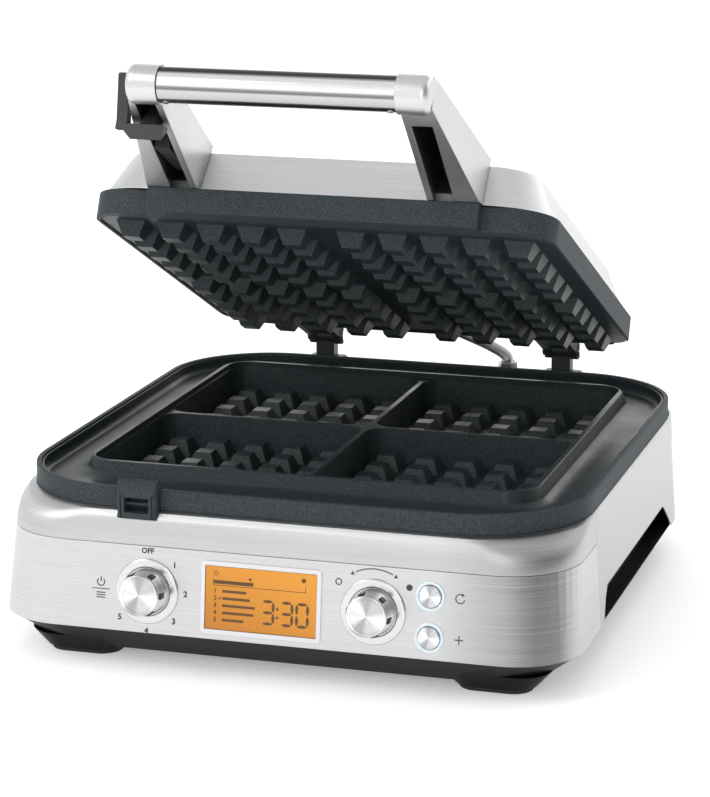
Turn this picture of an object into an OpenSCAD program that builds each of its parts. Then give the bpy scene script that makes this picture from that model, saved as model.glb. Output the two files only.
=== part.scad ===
// Four-square waffle maker, lid held part open on its rear hinge.
// Millimetres, +Z up, front of the machine towards -Y, feet standing on Z = 0.

/* [Cooking rim] */
// Outer width of the cast rim round the lower plate
rim_w = 380; // [360:1:400]
// Outer depth of the cast rim
rim_d = 404; // [390:1:425]
// Height of the rim wall
rim_h = 13.5; // [11:0.5:16]
// Height of the rim's top above the table
rim_z = 118.5; // [112:0.5:126]
// Outer corner radius of the rim
rim_r = 76; // [60:1:85]
// Width of the rim's flat lip
lip_w = 3.6; // [3:0.1:5]

/* [Waffle plates] */
// Side of the square cooking area inside the dam
well_side = 301; // [294:1:304]
// How far the cooking area lies behind the middle of the rim
well_back = 7.5; // [3:0.5:12]
// Distance between neighbouring studs
stud_pitch = 28.2; // [27.5:0.1:28.4]
// Distance from the dividers to the first stud's centre
stud_first = 20.2; // [19.4:0.1:20.6]
// Side of a stud at its root
stud_root = 20.2; // [17:0.1:21]
// Side of a stud at its tip
stud_tip = 11.6; // [9:0.1:14]
// Height of a stud
stud_h = 10; // [7:0.5:11]
// Depth of the wells below the rim's top
well_depth = 26.3; // [25:0.1:30]
// Height of the dam above the rim's top
dam_rise = 1.2; // [0.5:0.1:2]
// Width of the dam's flat top
dam_w = 4; // [3.4:0.1:5]
// Depth of the overflow moat below the rim's top
moat_depth = 10; // [8:0.5:10.5]
// Thickness of the cast plates
plate_t = 3.2; // [2.5:0.1:4]

/* [Body] */
// Half width that the housing gains from the rim down to its lower edge
body_flare = 6; // [2:0.5:9]
// How far the front shoulder stands out from the rim
shoulder_out = 9; // [6:0.5:12]
// Height of the rounded front shoulder
shoulder_h = 21.5; // [18:0.5:26]
// How far the control panel leans out from its top to its lower edge
panel_lean = 6; // [3:0.5:8]
// Height of the housing's lower edge above the table
skirt_z = 26.5; // [24:0.5:30]
// Thickness of the sheet housing
sheet_t = 1.2; // [0.8:0.1:1.6]
// Where the front fascia ends and the side sheet starts, from the middle
side_seam = 124; // [118:1:128]
// Length of the cut-out along the lower edge of each side
arch_l = 216; // [180:1:222]
// Height of that cut-out
arch_h = 22; // [14:0.5:24]
// Height of the rubber pad below a foot
pad_h = 3; // [2:0.5:5]

/* [Controls] */
// Distance of the left dial from the middle
menu_x = 84; // [80:0.5:88]
// Distance of the right dial from the middle
shade_x = 68; // [65:0.5:72]
// Distance of the two round buttons from the middle
button_x = 105; // [103:0.5:110]
// Height difference between the two buttons
button_gap = 26.4; // [24:0.2:30]
// Diameter of a dial's bezel
bezel_d = 43; // [40:0.5:45]
// Diameter of a dial's knob at its root
knob_d = 30; // [26:0.5:33]
// How far a knob stands out from the panel
knob_h = 17; // [12:0.5:22]
// Diameter of a button's ring
ring_d = 19.4; // [17:0.2:22]
// Diameter of a button
button_d = 14.6; // [12:0.2:15]
// Travel of a button
button_travel = 1.2; // [0.6:0.1:1.5]
// Width of the display window
lcd_w = 75; // [66:0.5:76]
// Height of the display window
lcd_h = 41.6; // [36:0.2:44]
// Distance of the display's middle to the left
lcd_x = 6.8; // [5:0.2:9]

/* [Lid] */
// Angle that the lid stands open at
open_angle = 24.8; // [20:0.2:40]
// Distance of the hinge axis behind the middle of the rim
hinge_y = 212; // [211:0.5:214]
// Height of the hinge axis above the rim's top, hinge raised
hinge_rise = 14.3; // [14:0.1:15]
// How far the floating hinge sinks when the lid is pressed shut
float_travel = 9.2; // [8:0.1:9.2]
// Distance of each hinge from the middle
hinge_x = 93.5; // [88:0.5:98]
// Diameter of the hinge pins
pin_d = 6; // [5:0.2:7]
// Running clearance round the hinge pins
pin_play = 0.06; // [0.02:0.01:0.1]
// Width of a hinge post
post_w = 14.5; // [12:0.5:17]
// Thickness of the hinge posts and of the yoke between them
post_t = 10.8; // [9:0.2:11]
// Width of the lid's cast frame beyond the dam
frame_out = 3; // [2.5:0.5:4]
// Height of the lid's cast frame
frame_h = 16.6; // [14:0.2:20]
// Height of the lid's shell above its frame
shell_h = 37.5; // [36:0.5:42]
// How far the shell's walls lean in up to its shoulder
shell_lean = 13.5; // [8:0.5:18]

/* [Handle] */
// Distance of the handle's axis in front of the middle, lid closed
handle_y = 257.5; // [252:0.5:265]
// Height of the handle's axis above the rim's top, lid closed
handle_z = 59.5; // [57:0.5:63]
// Diameter of the handle's tube
grip_d = 23; // [20:0.5:26]
// Half length of the bare tube
grip_half = 77; // [70:0.5:78]
// Half width over both handle legs at the handle
leg_half = 99; // [98.5:0.1:99.5]
// Distance of a leg's inner face from the middle
leg_in = 78; // [77.6:0.1:78.2]
// Height of the latch's thumb tab above its block
tab_h = 29.5; // [26:0.5:36]
// Swing of the latch from its stowed place to the keeper
latch_swing = 45; // [44.5:0.1:45]

/* [Hidden] */
$fn = 48;

gap = 0.3;                 // clearance between pieces that only seat on each other
eps = 0.5;                 // how far a cutter runs past the face it cuts

hw = rim_w / 2;
hd = rim_d / 2;
wall_foot = rim_z - rim_h; // underside of the rim, top of the housing
well_half = well_side / 2;
dam_half = well_half + dam_w;
dam_r = 24;
well_r = 14;
seam_z = wall_foot - shoulder_h;
control_z = rim_z - 64.6;  // height of the dials and of the display's middle
top_front = hd + 1;        // front of the housing's upper edge
panel_top_y = top_front + shoulder_out;
panel_tilt = atan(panel_lean / (seam_z - skirt_z));
hump_back = hinge_y + 14;  // rearmost face of the hinge housing
knob_reach = panel_top_y + panel_lean * (seam_z - control_z) / (seam_z - skirt_z)
    + knob_h * cos(panel_tilt) + knob_d / 2 * sin(panel_tilt);
centre_y = (knob_reach - hump_back) / 2;   // sets the outline's middle over the origin
corner_seg = 12;           // flats round one corner of a lofted shell

// ---- outlines and lofts ----

function arc_points(cx, cy, r, a0, a1, n) =
    [for (i = [0:n]) let (a = a0 + (a1 - a0) * i / n) [cx + r * cos(a), cy + r * sin(a)]];

// Rounded rectangle with one radius at the front and one at the back, anticlockwise.
function slab_points(half, y0, y1, rf, rb, n = corner_seg) = concat(
    arc_points(half - rb, y1 - rb, rb, 0, 90, n),
    arc_points(-half + rb, y1 - rb, rb, 90, 180, n),
    arc_points(-half + rf, y0 + rf, rf, 180, 270, n),
    arc_points(half - rf, y0 + rf, rf, 270, 360, n));

// Closed skin through rounded rectangles [z, half width, front y, back y, front r, back r].
module loft(sections, n = corner_seg) {
    rings = [for (s = sections) [for (p = slab_points(s[1], s[2], s[3], s[4], s[5], n))
        [p[0], p[1], s[0]]]];
    m = len(rings[0]);
    last = len(rings) - 1;
    sides = [for (k = [0:last - 1], i = [0:m - 1])
        let (j = (i + 1) % m)
        [k * m + i, (k + 1) * m + i, (k + 1) * m + j, k * m + j]];
    polyhedron(
        points = [for (ring = rings) for (p = ring) p],
        faces = concat(sides, [[for (i = [0:m - 1]) i]],
            [[for (i = [0:m - 1]) last * m + m - 1 - i]]),
        convexity = 6);
}

// Rounded rectangle with true arcs.
module rounded(half, y0, y1, r) {
    translate([-half + r, y0]) square([2 * (half - r), y1 - y0]);
    translate([-half, y0 + r]) square([2 * half, y1 - y0 - 2 * r]);
    for (x = [-half + r, half - r], y = [y0 + r, y1 - r]) translate([x, y]) circle(r);
}

module slab(half, y0, y1, r, z0, z1) {
    translate([0, 0, z0]) linear_extrude(z1 - z0) rounded(half, y0, y1, r);
}

// Sweeps a profile round a rounded rectangle: profile x runs outwards from the outline.
module sweep_round(half, y0, y1, r) {
    for (c = [[half - r, y1 - r, 0], [-half + r, y1 - r, 90],
              [-half + r, y0 + r, 180], [half - r, y0 + r, 270]])
        translate([c[0], c[1], 0]) rotate([0, 0, c[2]])
            rotate_extrude(angle = 90) translate([r, 0]) children();
    for (s = [[half, y0 + r, 0, y1 - y0 - 2 * r], [-half + r, y1, 90, 0],
              [-half, y1 - r, 180, y1 - y0 - 2 * r], [half - r, y0, 270, 0]]) {
        run = s[3] > 0 ? s[3] : 2 * (half - r);
        start = s[2] == 90 ? [half - r, y1] : s[2] == 270 ? [-half + r, y0] : [s[0], s[1]];
        translate([start[0], start[1], 0]) rotate([0, 0, s[2]])
            translate([0, run, 0]) rotate([90, 0, 0]) linear_extrude(run) children();
    }
}

// Round bar along a list of points.
function unit(v) = v / norm(v);
module tube_along(route, r, sides) {
    last = len(route) - 1;
    rings = [for (i = [0:last])
        let (d = unit(route[min(i + 1, last)] - route[max(i - 1, 0)]),
             side = unit(cross(d, abs(d[2]) > 0.9 ? [1, 0, 0] : [0, 0, 1])),
             up = cross(side, d))
        [for (k = [0:sides - 1]) let (a = 360 * k / sides)
            route[i] + r * (cos(a) * side + sin(a) * up)]];
    polyhedron(
        points = [for (ring = rings) for (p = ring) p],
        faces = concat(
            [for (k = [0:last - 1], i = [0:sides - 1], half = [0, 1])
                let (j = (i + 1) % sides, a = k * sides, b = a + sides)
                half == 0 ? [a + i, a + j, b + j] : [a + i, b + j, b + i]],
            [[for (i = [0:sides - 1]) sides - 1 - i]],
            [[for (i = [0:sides - 1]) last * sides + i]]),
        convexity = 8);
}

// Smooth curve through hand-picked points.
function spline(p, steps) = concat(
    [for (i = [0:len(p) - 2], s = [0:steps - 1])
        let (t = s / steps, a = p[max(i - 1, 0)], b = p[i], c = p[i + 1],
             d = p[min(i + 2, len(p) - 1)])
        0.5 * (2 * b + (c - a) * t + (2 * a - 5 * b + 4 * c - d) * t * t
            + (3 * b - a - 3 * c + d) * t * t * t)],
    [p[len(p) - 1]]);

// ---- placing ----

module place() translate([0, centre_y, 0]) children();

// The lid is drawn shut, with the floating hinge sunk; this lifts and opens it.
hinge_high = rim_z + hinge_rise;
hinge_low = hinge_high - float_travel;
module lid_place() {
    place() translate([0, hinge_y, hinge_high]) rotate([-open_angle, 0, 0])
        translate([0, -hinge_y, -hinge_low]) children();
}
function lid_open(p) = let (dy = p[1] - hinge_y, dz = p[2] - hinge_low)
    [p[0], hinge_y + dy * cos(open_angle) + dz * sin(open_angle),
     hinge_high - dy * sin(open_angle) + dz * cos(open_angle)];

// ---- body ----

body_back = hd + 2;
body_back_low = body_back + 1;
panel_r = 50;              // front corner radius from the seam down
rear_r = 70;
shoulder_steps = 5;

// One level of the housing's outside: t is how far down the shoulder, 0 to 1.
function shoulder_level(t, inset) =
    let (a = 90 * t)
    [wall_foot - shoulder_h * (1 - cos(a)),
     hw + 0.6 + 1.6 * sin(a) - inset,
     -top_front - shoulder_out * sin(a) + inset,
     body_back - inset,
     rim_r + (panel_r - rim_r) * sin(a) - inset,
     rear_r - inset];
function skirt_level(inset) =
    [skirt_z, hw + body_flare - inset, -panel_top_y - panel_lean + inset,
     body_back_low - inset, panel_r - 3 - inset, rear_r - inset];
module body_outside(inset, over) {
    // over lengthens the solid at both ends, so that it can cut
    low = skirt_level(inset);
    high = shoulder_level(0, inset);
    loft(concat(over > 0 ? [[low[0] - over, low[1], low[2], low[3], low[4], low[5]]] : [],
        [low],
        [for (i = [0:shoulder_steps]) shoulder_level(1 - i / shoulder_steps, inset)],
        over > 0 ? [[high[0] + over, high[1], high[2], high[3], high[4], high[5]]] : []));
}
module body_shell() {
    difference() {
        body_outside(0, 0);
        body_outside(sheet_t, eps);
    }
}

// A place on the control panel: x across, z up, local +Z straight out of the panel.
module on_panel(x, z) {
    y = -panel_top_y - panel_lean * (seam_z - z) / (seam_z - skirt_z);
    translate([x, y, z]) rotate([90 - panel_tilt, 0, 0]) children();
}
button_z = [control_z + button_gap / 2, control_z - button_gap / 2];
bush_d = 9.6;              // threaded neck of an encoder
bush_hole = bush_d + 0.4;
lcd_frame = 3;             // width of the display's frame

module front_panel() {
    color("silver") place() difference() {
        intersection() {
            body_shell();
            translate([-rim_w, -rim_d, skirt_z - eps])
                cube([2 * rim_w, rim_d - side_seam, seam_z - gap - skirt_z + eps]);
        }
        for (x = [-menu_x, shade_x]) on_panel(x, control_z)
            cylinder(d = bush_hole, h = 8 * sheet_t, center = true);
        for (z = button_z) on_panel(button_x, z)
            cylinder(d = button_d + 2 * gap, h = 8 * sheet_t, center = true);
        on_panel(-lcd_x, control_z)
            cube([lcd_w, lcd_h, 8 * sheet_t], center = true);
    }
}

keeper_w = 27;
keeper_x = -92.5;
keeper_top = 4.3;          // above the rim's top
keeper_low = 18.3;         // below the rim's top
keeper_out = 8;

module front_shoulder() {
    color("silver") place() difference() {
        intersection() {
            body_shell();
            translate([-rim_w, -rim_d, seam_z])
                cube([2 * rim_w, rim_d - side_seam, shoulder_h + eps]);
        }
        // notch that the latch keeper drops into
        translate([keeper_x - keeper_w / 2 - gap, -top_front - keeper_out - gap,
                   rim_z - keeper_low - gap])
            cube([keeper_w + 2 * gap, 2 * keeper_out, keeper_low]);
    }
}

module arch_cut() {
    slope = 8;
    r = 7;
    top = skirt_z + arch_h;
    y0 = -arch_l / 2 + 2;
    y1 = arch_l / 2 + 2;
    rotate([90, 0, 90]) translate([0, 0, -rim_w]) linear_extrude(2 * rim_w) {
        polygon([[y0 - slope, skirt_z - eps], [y0 - slope, skirt_z], [y0, top - r], [y0 + r, top],
            [y1 - 2 * r, top], [y1 - slope, top - r / 2], [y1 + 2 * slope, skirt_z],
            [y1 + 2 * slope, skirt_z - eps]]);
    }
}

module side_housing() {
    color("gainsboro") place() difference() {
        intersection() {
            body_shell();
            translate([-rim_w, -side_seam + gap, skirt_z - eps])
                cube([2 * rim_w, rim_d, wall_foot - skirt_z + 2 * eps]);
        }
        arch_cut();
        // cord opening low in the back
        translate([gland_x, body_back, gland_z]) rotate([90, 0, 0])
            cylinder(d = gland_d + 2 * gap, h = 12, center = true);
    }
}

tray_z = 6;                // underside of the tray's floor
tray_wall = 3;
tray_top = skirt_z + arch_h + 4;
tray_in = sheet_t + gap;   // how far the tray's edge lies inside the housing's outside
tray_lean = 24;            // how far its skirt tucks in below
wall_in = sheet_t + 7;     // its inner wall, behind the side cut-outs
wall_front = 36;           // and behind the controls, from the housing's upper edge
foot_x = hw - 50;
foot_front = hd - 24;
foot_back = hd - 38;
screw_d = 4.4;
screw_head = 8;

function foot_spots() = [for (x = [-foot_x, foot_x], y = [-foot_front, foot_back]) [x, y]];

module base_tray() {
    low = skirt_level(tray_in);
    function skirt_floor(z, t) = [z, low[1] - tray_lean - t, low[2] + tray_lean + t,
        low[3] - tray_lean - t, low[4] - tray_lean / 2, low[5] - tray_lean];
    function inner_wall(z, t) =
        [z, hw - wall_in - t, -top_front + wall_front + t, body_back - wall_in - t, 54 - t, 60 - t];
    // hollow just below the flange that joins skirt and inner wall
    under = 10;
    flange_z = skirt_z - 6;
    color("#1c1c1e") place() difference() {
        union() {
            // sloping skirt that tucks under the housing
            loft([skirt_floor(tray_z, 0),
                  [skirt_z - gap, low[1], low[2], low[3], low[4], low[5]]]);
            // inner wall seen behind the side cut-outs
            loft([inner_wall(skirt_z - 2, 0), inner_wall(tray_top, 0)]);
            for (p = foot_spots()) translate([p[0], p[1], 0])
                loft([[pad_h, 27, -17, 17, 15, 15], [tray_z + 8, 37, -24, 24, 22, 22]], 6);
        }
        loft([skirt_floor(tray_z + tray_wall, tray_wall),
              [flange_z, low[1] - under, low[2] + under, low[3] - under,
               low[4] - under, low[5] - under],
              inner_wall(flange_z + 2, tray_wall), inner_wall(tray_top + eps, tray_wall)]);
        for (p = foot_spots()) translate([p[0], p[1], 0]) cylinder(d = screw_d + 0.4, h = 40);
        // passage for the cord gland
        translate([gland_x, body_back - wall_in, gland_z]) rotate([90, 0, 0])
            cylinder(d = gland_d + 2 * gap, h = 4 * tray_wall, center = true);
    }
}

pad_seat = 1.6;            // floor of the screw's recess in a pad
module foot_pads() {
    color("#2b2b2b") place() for (p = foot_spots()) translate([p[0], p[1], 0])
        difference() {
            linear_extrude(pad_h) rounded(24, -15, 15, 13);
            translate([0, 0, pad_seat]) cylinder(d = screw_head + 1, h = pad_h);
        }
}

module tray_screws() {
    color("gray") place() for (p = foot_spots()) translate([p[0], p[1], 0]) {
        translate([0, 0, pad_seat + 0.1]) cylinder(d = screw_head, h = pad_h - pad_seat - 0.1);
        translate([0, 0, pad_seat + 0.5]) cylinder(d = screw_d, h = 16);
    }
}

// ---- lower cooking side ----

module lower_frame() {
    edge = 0.9;
    color("#3a4046") place() difference() {
        sweep_round(hw, -hd, hd, rim_r) polygon(concat(
            [[-lip_w, wall_foot], [0, wall_foot]],
            arc_points(-edge, rim_z - edge, edge, 0, 90, 4),
            arc_points(-lip_w + edge, rim_z - edge, edge, 90, 180, 4)));
        translate([keeper_x - keeper_w / 2 - gap, -hd - 1, wall_foot - 1])
            cube([keeper_w + 2 * gap, lip_w + 2, rim_h + 2]);
    }
}

// Four-sided studs: two sets of ridges crossed.
module stud_ridges(sign) {
    for (q = [-1, 1], i = [0:4]) translate([q * (stud_first + i * stud_pitch), 0])
        polygon([[-stud_root / 2, -0.2 * sign], [stud_root / 2, -0.2 * sign],
                 [stud_root / 2, 0], [stud_tip / 2, stud_h * sign],
                 [-stud_tip / 2, stud_h * sign], [-stud_root / 2, 0]]);
}
module stud_field(z, sign) {
    translate([0, well_back, z]) intersection() {
        rotate([90, 0, 0]) linear_extrude(well_side, center = true) stud_ridges(sign);
        rotate([90, 0, 90]) linear_extrude(well_side, center = true) stud_ridges(sign);
    }
}

divider_drop = 3;          // dividers stop this far below the rim's top
divider_top = 3.4;         // thickness of a divider at its top
draft = 2.6;               // how far a well's walls lean in over its depth
shelf = gap + lip_w;
moat_t = 2.5;

module lower_plate() {
    y0 = well_back - well_half;
    y1 = well_back + well_half;
    floor_z = rim_z - well_depth;
    moat_z = rim_z - moat_depth;
    base_z = moat_z - moat_t;
    crease = 2.5;              // the dam's steep wall ends this far out
    crease_drop = 5.2;
    cove = 11;
    drop = moat_depth - crease_drop;
    bury = 2;                  // how far the swept edges run into the slabs
    mouth = 0.4;               // the mouth over the dividers clears the wells by this
    color("#1e2226") place() union() {
        difference() {
            union() {
                // moat floor and its outer edge
                slab(hw - shelf - bury, -hd + shelf + bury, hd - shelf - bury,
                     rim_r - shelf - bury, base_z, moat_z);
                sweep_round(hw - shelf, -hd + shelf, hd - shelf, rim_r - shelf)
                    polygon(concat([[-5.2, base_z], [0, base_z], [0, rim_z - 1.4],
                        [-1.2, rim_z - 1.4]],
                        arc_points(-5.2, moat_z + 4, 4, 0, -90, 5)));
                // dam with a steep wall, a crease and a cove down to the moat
                slab(dam_half - bury, y0 - dam_w + bury, y1 + dam_w - bury, dam_r - bury,
                     base_z, rim_z + dam_rise);
                sweep_round(dam_half, y0 - dam_w, y1 + dam_w, dam_r)
                    polygon(concat([[-bury - 1, base_z], [-bury - 1, rim_z + dam_rise],
                        [-0.5, rim_z + dam_rise], [0, rim_z + dam_rise - 0.5],
                        [crease * 0.4, rim_z - 2], [crease, rim_z - crease_drop]],
                        [for (i = [1:6]) let (a = 15 * i) [crease + cove * (1 - cos(a)),
                            rim_z - crease_drop - drop * sin(a)]],
                        [[crease + cove, base_z]]));
                // pan under the wells
                slab(well_half + 1, y0 - 1, y1 + 1, well_r, floor_z - plate_t, moat_z);
            }
            // open mouth over the dividers
            slab(well_half + mouth, y0 - mouth, y1 + mouth, well_r + mouth,
                 rim_z - divider_drop, rim_z + dam_rise + eps);
            // four wells
            for (sx = [-1, 1], sy = [-1, 1]) {
                mid = well_half / 2 + divider_top / 4;
                half = well_half / 2 - divider_top / 4;
                translate([sx * mid, well_back + sy * mid, 0])
                    loft([[floor_z, half - draft, -half + draft, half - draft, 8, 8],
                          [floor_z + 2.5, half - 0.8 * draft - 0.3, -half + 0.8 * draft + 0.3,
                           half - 0.8 * draft - 0.3, 10, 10],
                          [rim_z - divider_drop + eps, half, -half, half, well_r, well_r]], 6);
            }
        }
        stud_field(floor_z, 1);
    }
}

element_r = 3.6;
element_half = 105;        // half side of the element's loop
element_bend = 30;
seat = 0.05;               // play under a round bar that lies on a flat face
// Heating element: a flat loop with round corners, its two ends turned to the back.
module element_loop(half, front, back, bend, z) {
    module straight(p, q) {
        d = q - p;
        translate([p[0], p[1], z]) rotate([0, 0, atan2(d[1], d[0])]) rotate([0, 90, 0])
            cylinder(r = element_r, h = norm(d));
    }
    module corner(cx, cy, a) {
        translate([cx, cy, z]) rotate([0, 0, a]) rotate_extrude(angle = 90)
            translate([bend, 0]) circle(element_r);
    }
    corner(half - bend, front + bend, 270);
    corner(-half + bend, front + bend, 180);
    straight([-half + bend, front], [half - bend, front]);
    for (s = [-1, 1]) {
        straight([s * half, front + bend], [s * half, back - bend]);
        corner(s * (half - bend), back - bend, s > 0 ? 0 : 90);
        straight([s * (half - bend), back], [s * 30, back]);
    }
}

pan_low = rim_z - well_depth - plate_t;   // underside of the lower plate
module lower_element() {
    color("#6b6660") place()
        element_loop(element_half, well_back - element_half, well_back + element_half,
            element_bend, pan_low - element_r - seat);
}

shield_drop = 2 * element_r + 4;
module lower_heat_shield() {
    h = well_half + 6;
    z0 = pan_low - shield_drop;
    color("lightgray") place() difference() {
        slab(h, well_back - h, well_back + h, 20, z0 - 1, rim_z - moat_depth - moat_t);
        slab(h - 1, well_back - h + 1, well_back + h - 1, 19, z0, rim_z);
        // slots for the element's ends and the wiring
        for (x = [-45, 45]) translate([x, well_back, z0]) cylinder(d = 12, h = 10, center = true);
    }
}

thermostat_d = 18;
module lower_thermostat() {
    color("#c9c5b8") place() translate([0, well_back, 0]) {
        translate([0, 0, pan_low - 8]) cylinder(d = thermostat_d, h = 8);
        for (s = [-1, 1]) translate([s * 5, 0, pan_low - 8.5]) cube([2, 6, 3], center = true);
    }
}

// Block on the rim's front left that the latch hooks into.
slot_w = 16.6;
slot_top = 4.5;            // slot's upper edge below the rim's top
slot_low = 14.5;
bar_top = 8.4;             // cross bar inside the slot that the nose hooks under
bar_low = 10.2;
bar_front = 4;             // how far the bar lies behind the block's face
module latch_keeper() {
    face_y = -hd - keeper_out;
    insert_w = 21.4;
    groove = 0.8;
    color("#33383d") place() difference() {
        translate([keeper_x, -hd + lip_w, rim_z]) union() {
            translate([-keeper_w / 2, -lip_w - keeper_out, -keeper_low])
                cube([keeper_w, keeper_out + lip_w, keeper_low]);
            // rounded crest along the rim
            translate([0, -lip_w - keeper_out, 0]) rotate([90, 0, 90])
                linear_extrude(keeper_w, center = true)
                    polygon(concat([[0, -1]],
                        arc_points(keeper_out - 1, 0, keeper_out - 1, 180, 100, 6),
                        [[keeper_out + 2, keeper_top], [keeper_out + lip_w, keeper_top],
                         [keeper_out + lip_w, -1]]) );
        }
        // catch slot, all but its cross bar
        difference() {
            translate([keeper_x - slot_w / 2, face_y - eps, rim_z - slot_low])
                cube([slot_w, keeper_out + lip_w - 1, slot_low - slot_top]);
            translate([keeper_x - keeper_w / 2, face_y + bar_front, rim_z - bar_low])
                cube([keeper_w, 2, bar_low - bar_top]);
        }
        // groove round the insert that holds the slot
        for (e = [-1, 1]) translate([keeper_x + e * insert_w / 2 - groove / 2, face_y - eps,
                                     rim_z - keeper_low - 1])
            cube([groove, eps + groove, keeper_low - 1.6]);
        // corners taken off both upright edges
        for (e = [-1, 1]) translate([keeper_x + e * keeper_w / 2, face_y, rim_z])
            rotate([0, 0, 45]) cube([2.4, 2.4, 3 * keeper_low], center = true);
    }
}

// ---- rear hinge: posts on a yoke that floats up and down in its housing ----

knuckle_r = 7;
ear_r = 7.2;
ear_t = 5;
ear_gap = 0.4;
slide_gap = 0.2;           // clearance of the sliding posts and yoke
hump_top = rim_z - 6;
hump_half = 122;
guide_w = 28;
guide_h = 3.4;
yoke_h = 8;
yoke_low = rim_z - 34;     // underside of the yoke, hinge raised
yoke_half = hinge_x + post_w / 2 + 1.5;
gland_x = 0;
gland_z = 43;
gland_d = 15;

// Column that a post slides in, with its clearance.
module post_shaft(x, z0, h, play) {
    translate([x - post_w / 2 - play, hinge_y - post_t / 2 - play, z0])
        cube([post_w + 2 * play, post_t + 2 * play, h]);
}

module hinge_housing() {
    foot_z = rim_z - 62;
    front = body_back_low + gap;
    color("#202225") place() difference() {
        loft([[foot_z, hump_half - 4, front, hump_back - 6, 1, 4],
              [foot_z + 22, hump_half, front, hump_back - 1.5, 1, 9],
              [hump_top - 3, hump_half, front, hump_back, 1, 12],
              [hump_top, hump_half - 3, front, hump_back - 3, 1, 10]], 5);
        // hollow that the yoke floats in
        translate([-yoke_half - 4, hinge_y - post_t / 2 - slide_gap, foot_z + 6])
            cube([2 * yoke_half + 8, post_t + 2 * slide_gap, hump_top - 8 - foot_z - 6]);
        for (s = [-1, 1]) post_shaft(s * hinge_x, foot_z + 10, 80, slide_gap);
        // passage for the wires of the conduit
        translate([conduit_foot[0], conduit_foot[1], hump_top - 20]) cylinder(d = 6, h = 30);
    }
}

// Screwed flanges round the posts.
module hinge_guides() {
    color("#2a2e33") place() for (s = [-1, 1]) difference() {
        translate([s * hinge_x - guide_w / 2, body_back_low + gap + 0.2, hump_top]) {
            cube([guide_w, 14.5, guide_h - 1]);
            translate([1.2, 1.2, 0]) cube([guide_w - 2.4, 12.1, guide_h]);
        }
        post_shaft(s * hinge_x, hump_top - 1, guide_h + 2, slide_gap);
    }
}

module hinge_yoke() {
    color("#4a4e52") place() translate([-yoke_half, hinge_y - post_t / 2, yoke_low])
        cube([2 * yoke_half, post_t, yoke_h]);
}

module hinge_post(side) {
    x = side * hinge_x;
    color("#2a2e33") place() difference() {
        union() {
            post_shaft(x, yoke_low + yoke_h, hinge_high - yoke_low - yoke_h, 0);
            translate([x - post_w / 2, hinge_y, hinge_high]) rotate([0, 90, 0])
                cylinder(r = knuckle_r, h = post_w);
        }
        translate([x, hinge_y, hinge_high]) rotate([0, 90, 0])
            cylinder(d = pin_d + 2 * pin_play, h = post_w + 2, center = true);
    }
}
module hinge_post_left() hinge_post(-1);
module hinge_post_right() hinge_post(1);

module cord_gland() {
    color("#161618") place() translate([gland_x, body_back_low, gland_z]) rotate([-90, 0, 0])
        difference() {
            union() {
                translate([0, 0, -8]) cylinder(d = gland_d, h = 10);
                translate([0, 0, -0.5 + gap + 0.6]) cylinder(d = gland_d + 6, h = 3);
                translate([0, 0, 3]) cylinder(d1 = 13, d2 = 10, h = 6);
            }
            translate([0, 0, -10]) cylinder(d = 7.5, h = 30);
        }
}

// ---- controls ----

board_back = 22;           // front face of the circuit board behind the panel
board_t = 1.6;

module control_board() {
    color("#2f6b3a") place() on_panel(8, control_z)
        translate([-108, -23.5, -board_back - board_t]) cube([216, 47, board_t]);
}
module board_posts() {
    color("#222222") place() for (x = [-94, 88], y = [-20, 20]) on_panel(x, control_z)
        translate([0, y, -board_back]) cylinder(d = 6, h = board_back - sheet_t);
}
module lcd_module() {
    color("#e08a1e") place() on_panel(-lcd_x, control_z)
        translate([-lcd_w / 2 - 4, -lcd_h / 2 - 3, -12]) cube([lcd_w + 8, lcd_h + 6, 9.4]);
}
module lcd_window() {
    color("#f2a33a", 0.6) place() on_panel(-lcd_x, control_z)
        translate([-lcd_w / 2 + gap, -lcd_h / 2 + gap, -2.5])
            cube([lcd_w - 2 * gap, lcd_h - 2 * gap, 2.9]);
}
module lcd_bezel() {
    w = lcd_w + 2 * lcd_frame;
    h = lcd_h + 2 * lcd_frame;
    color("darkgray") place() on_panel(-lcd_x, control_z) difference() {
        translate([0, 0, 0.02]) linear_extrude(0.9) rounded(w / 2, -h / 2, h / 2, 3);
        cube([lcd_w, lcd_h, 6], center = true);
    }
}
module bezel(x) {
    place() on_panel(x, control_z) difference() {
        rotate_extrude() polygon(concat([[bush_hole / 2, 0.02], [bezel_d / 2, 0.02]],
            arc_points(bezel_d / 2 - 1.2, 0.3, 1.1, 0, 90, 4),
            [[knob_d / 2 + 1.4, 1.4], [knob_d / 2 + 0.6, 0.7], [bush_hole / 2, 0.7]]));
    }
}
module menu_bezel() color("lightgray") bezel(-menu_x);
module shade_bezel() color("lightgray") bezel(shade_x);

shaft_d = 6;
module encoder(x) {
    color("#8c8f92") place() on_panel(x, control_z) {
        difference() {
            union() {
                translate([-7, -7, -board_back]) cube([14, 14, board_back - 8]);
                translate([0, 0, -8.5]) cylinder(d = bush_d, h = 9.5);
            }
            translate([0, 0, -6]) cylinder(d = shaft_d + 0.1, h = 9);
        }
    }
}
module menu_encoder() encoder(-menu_x);
module shade_encoder() encoder(shade_x);

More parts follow.
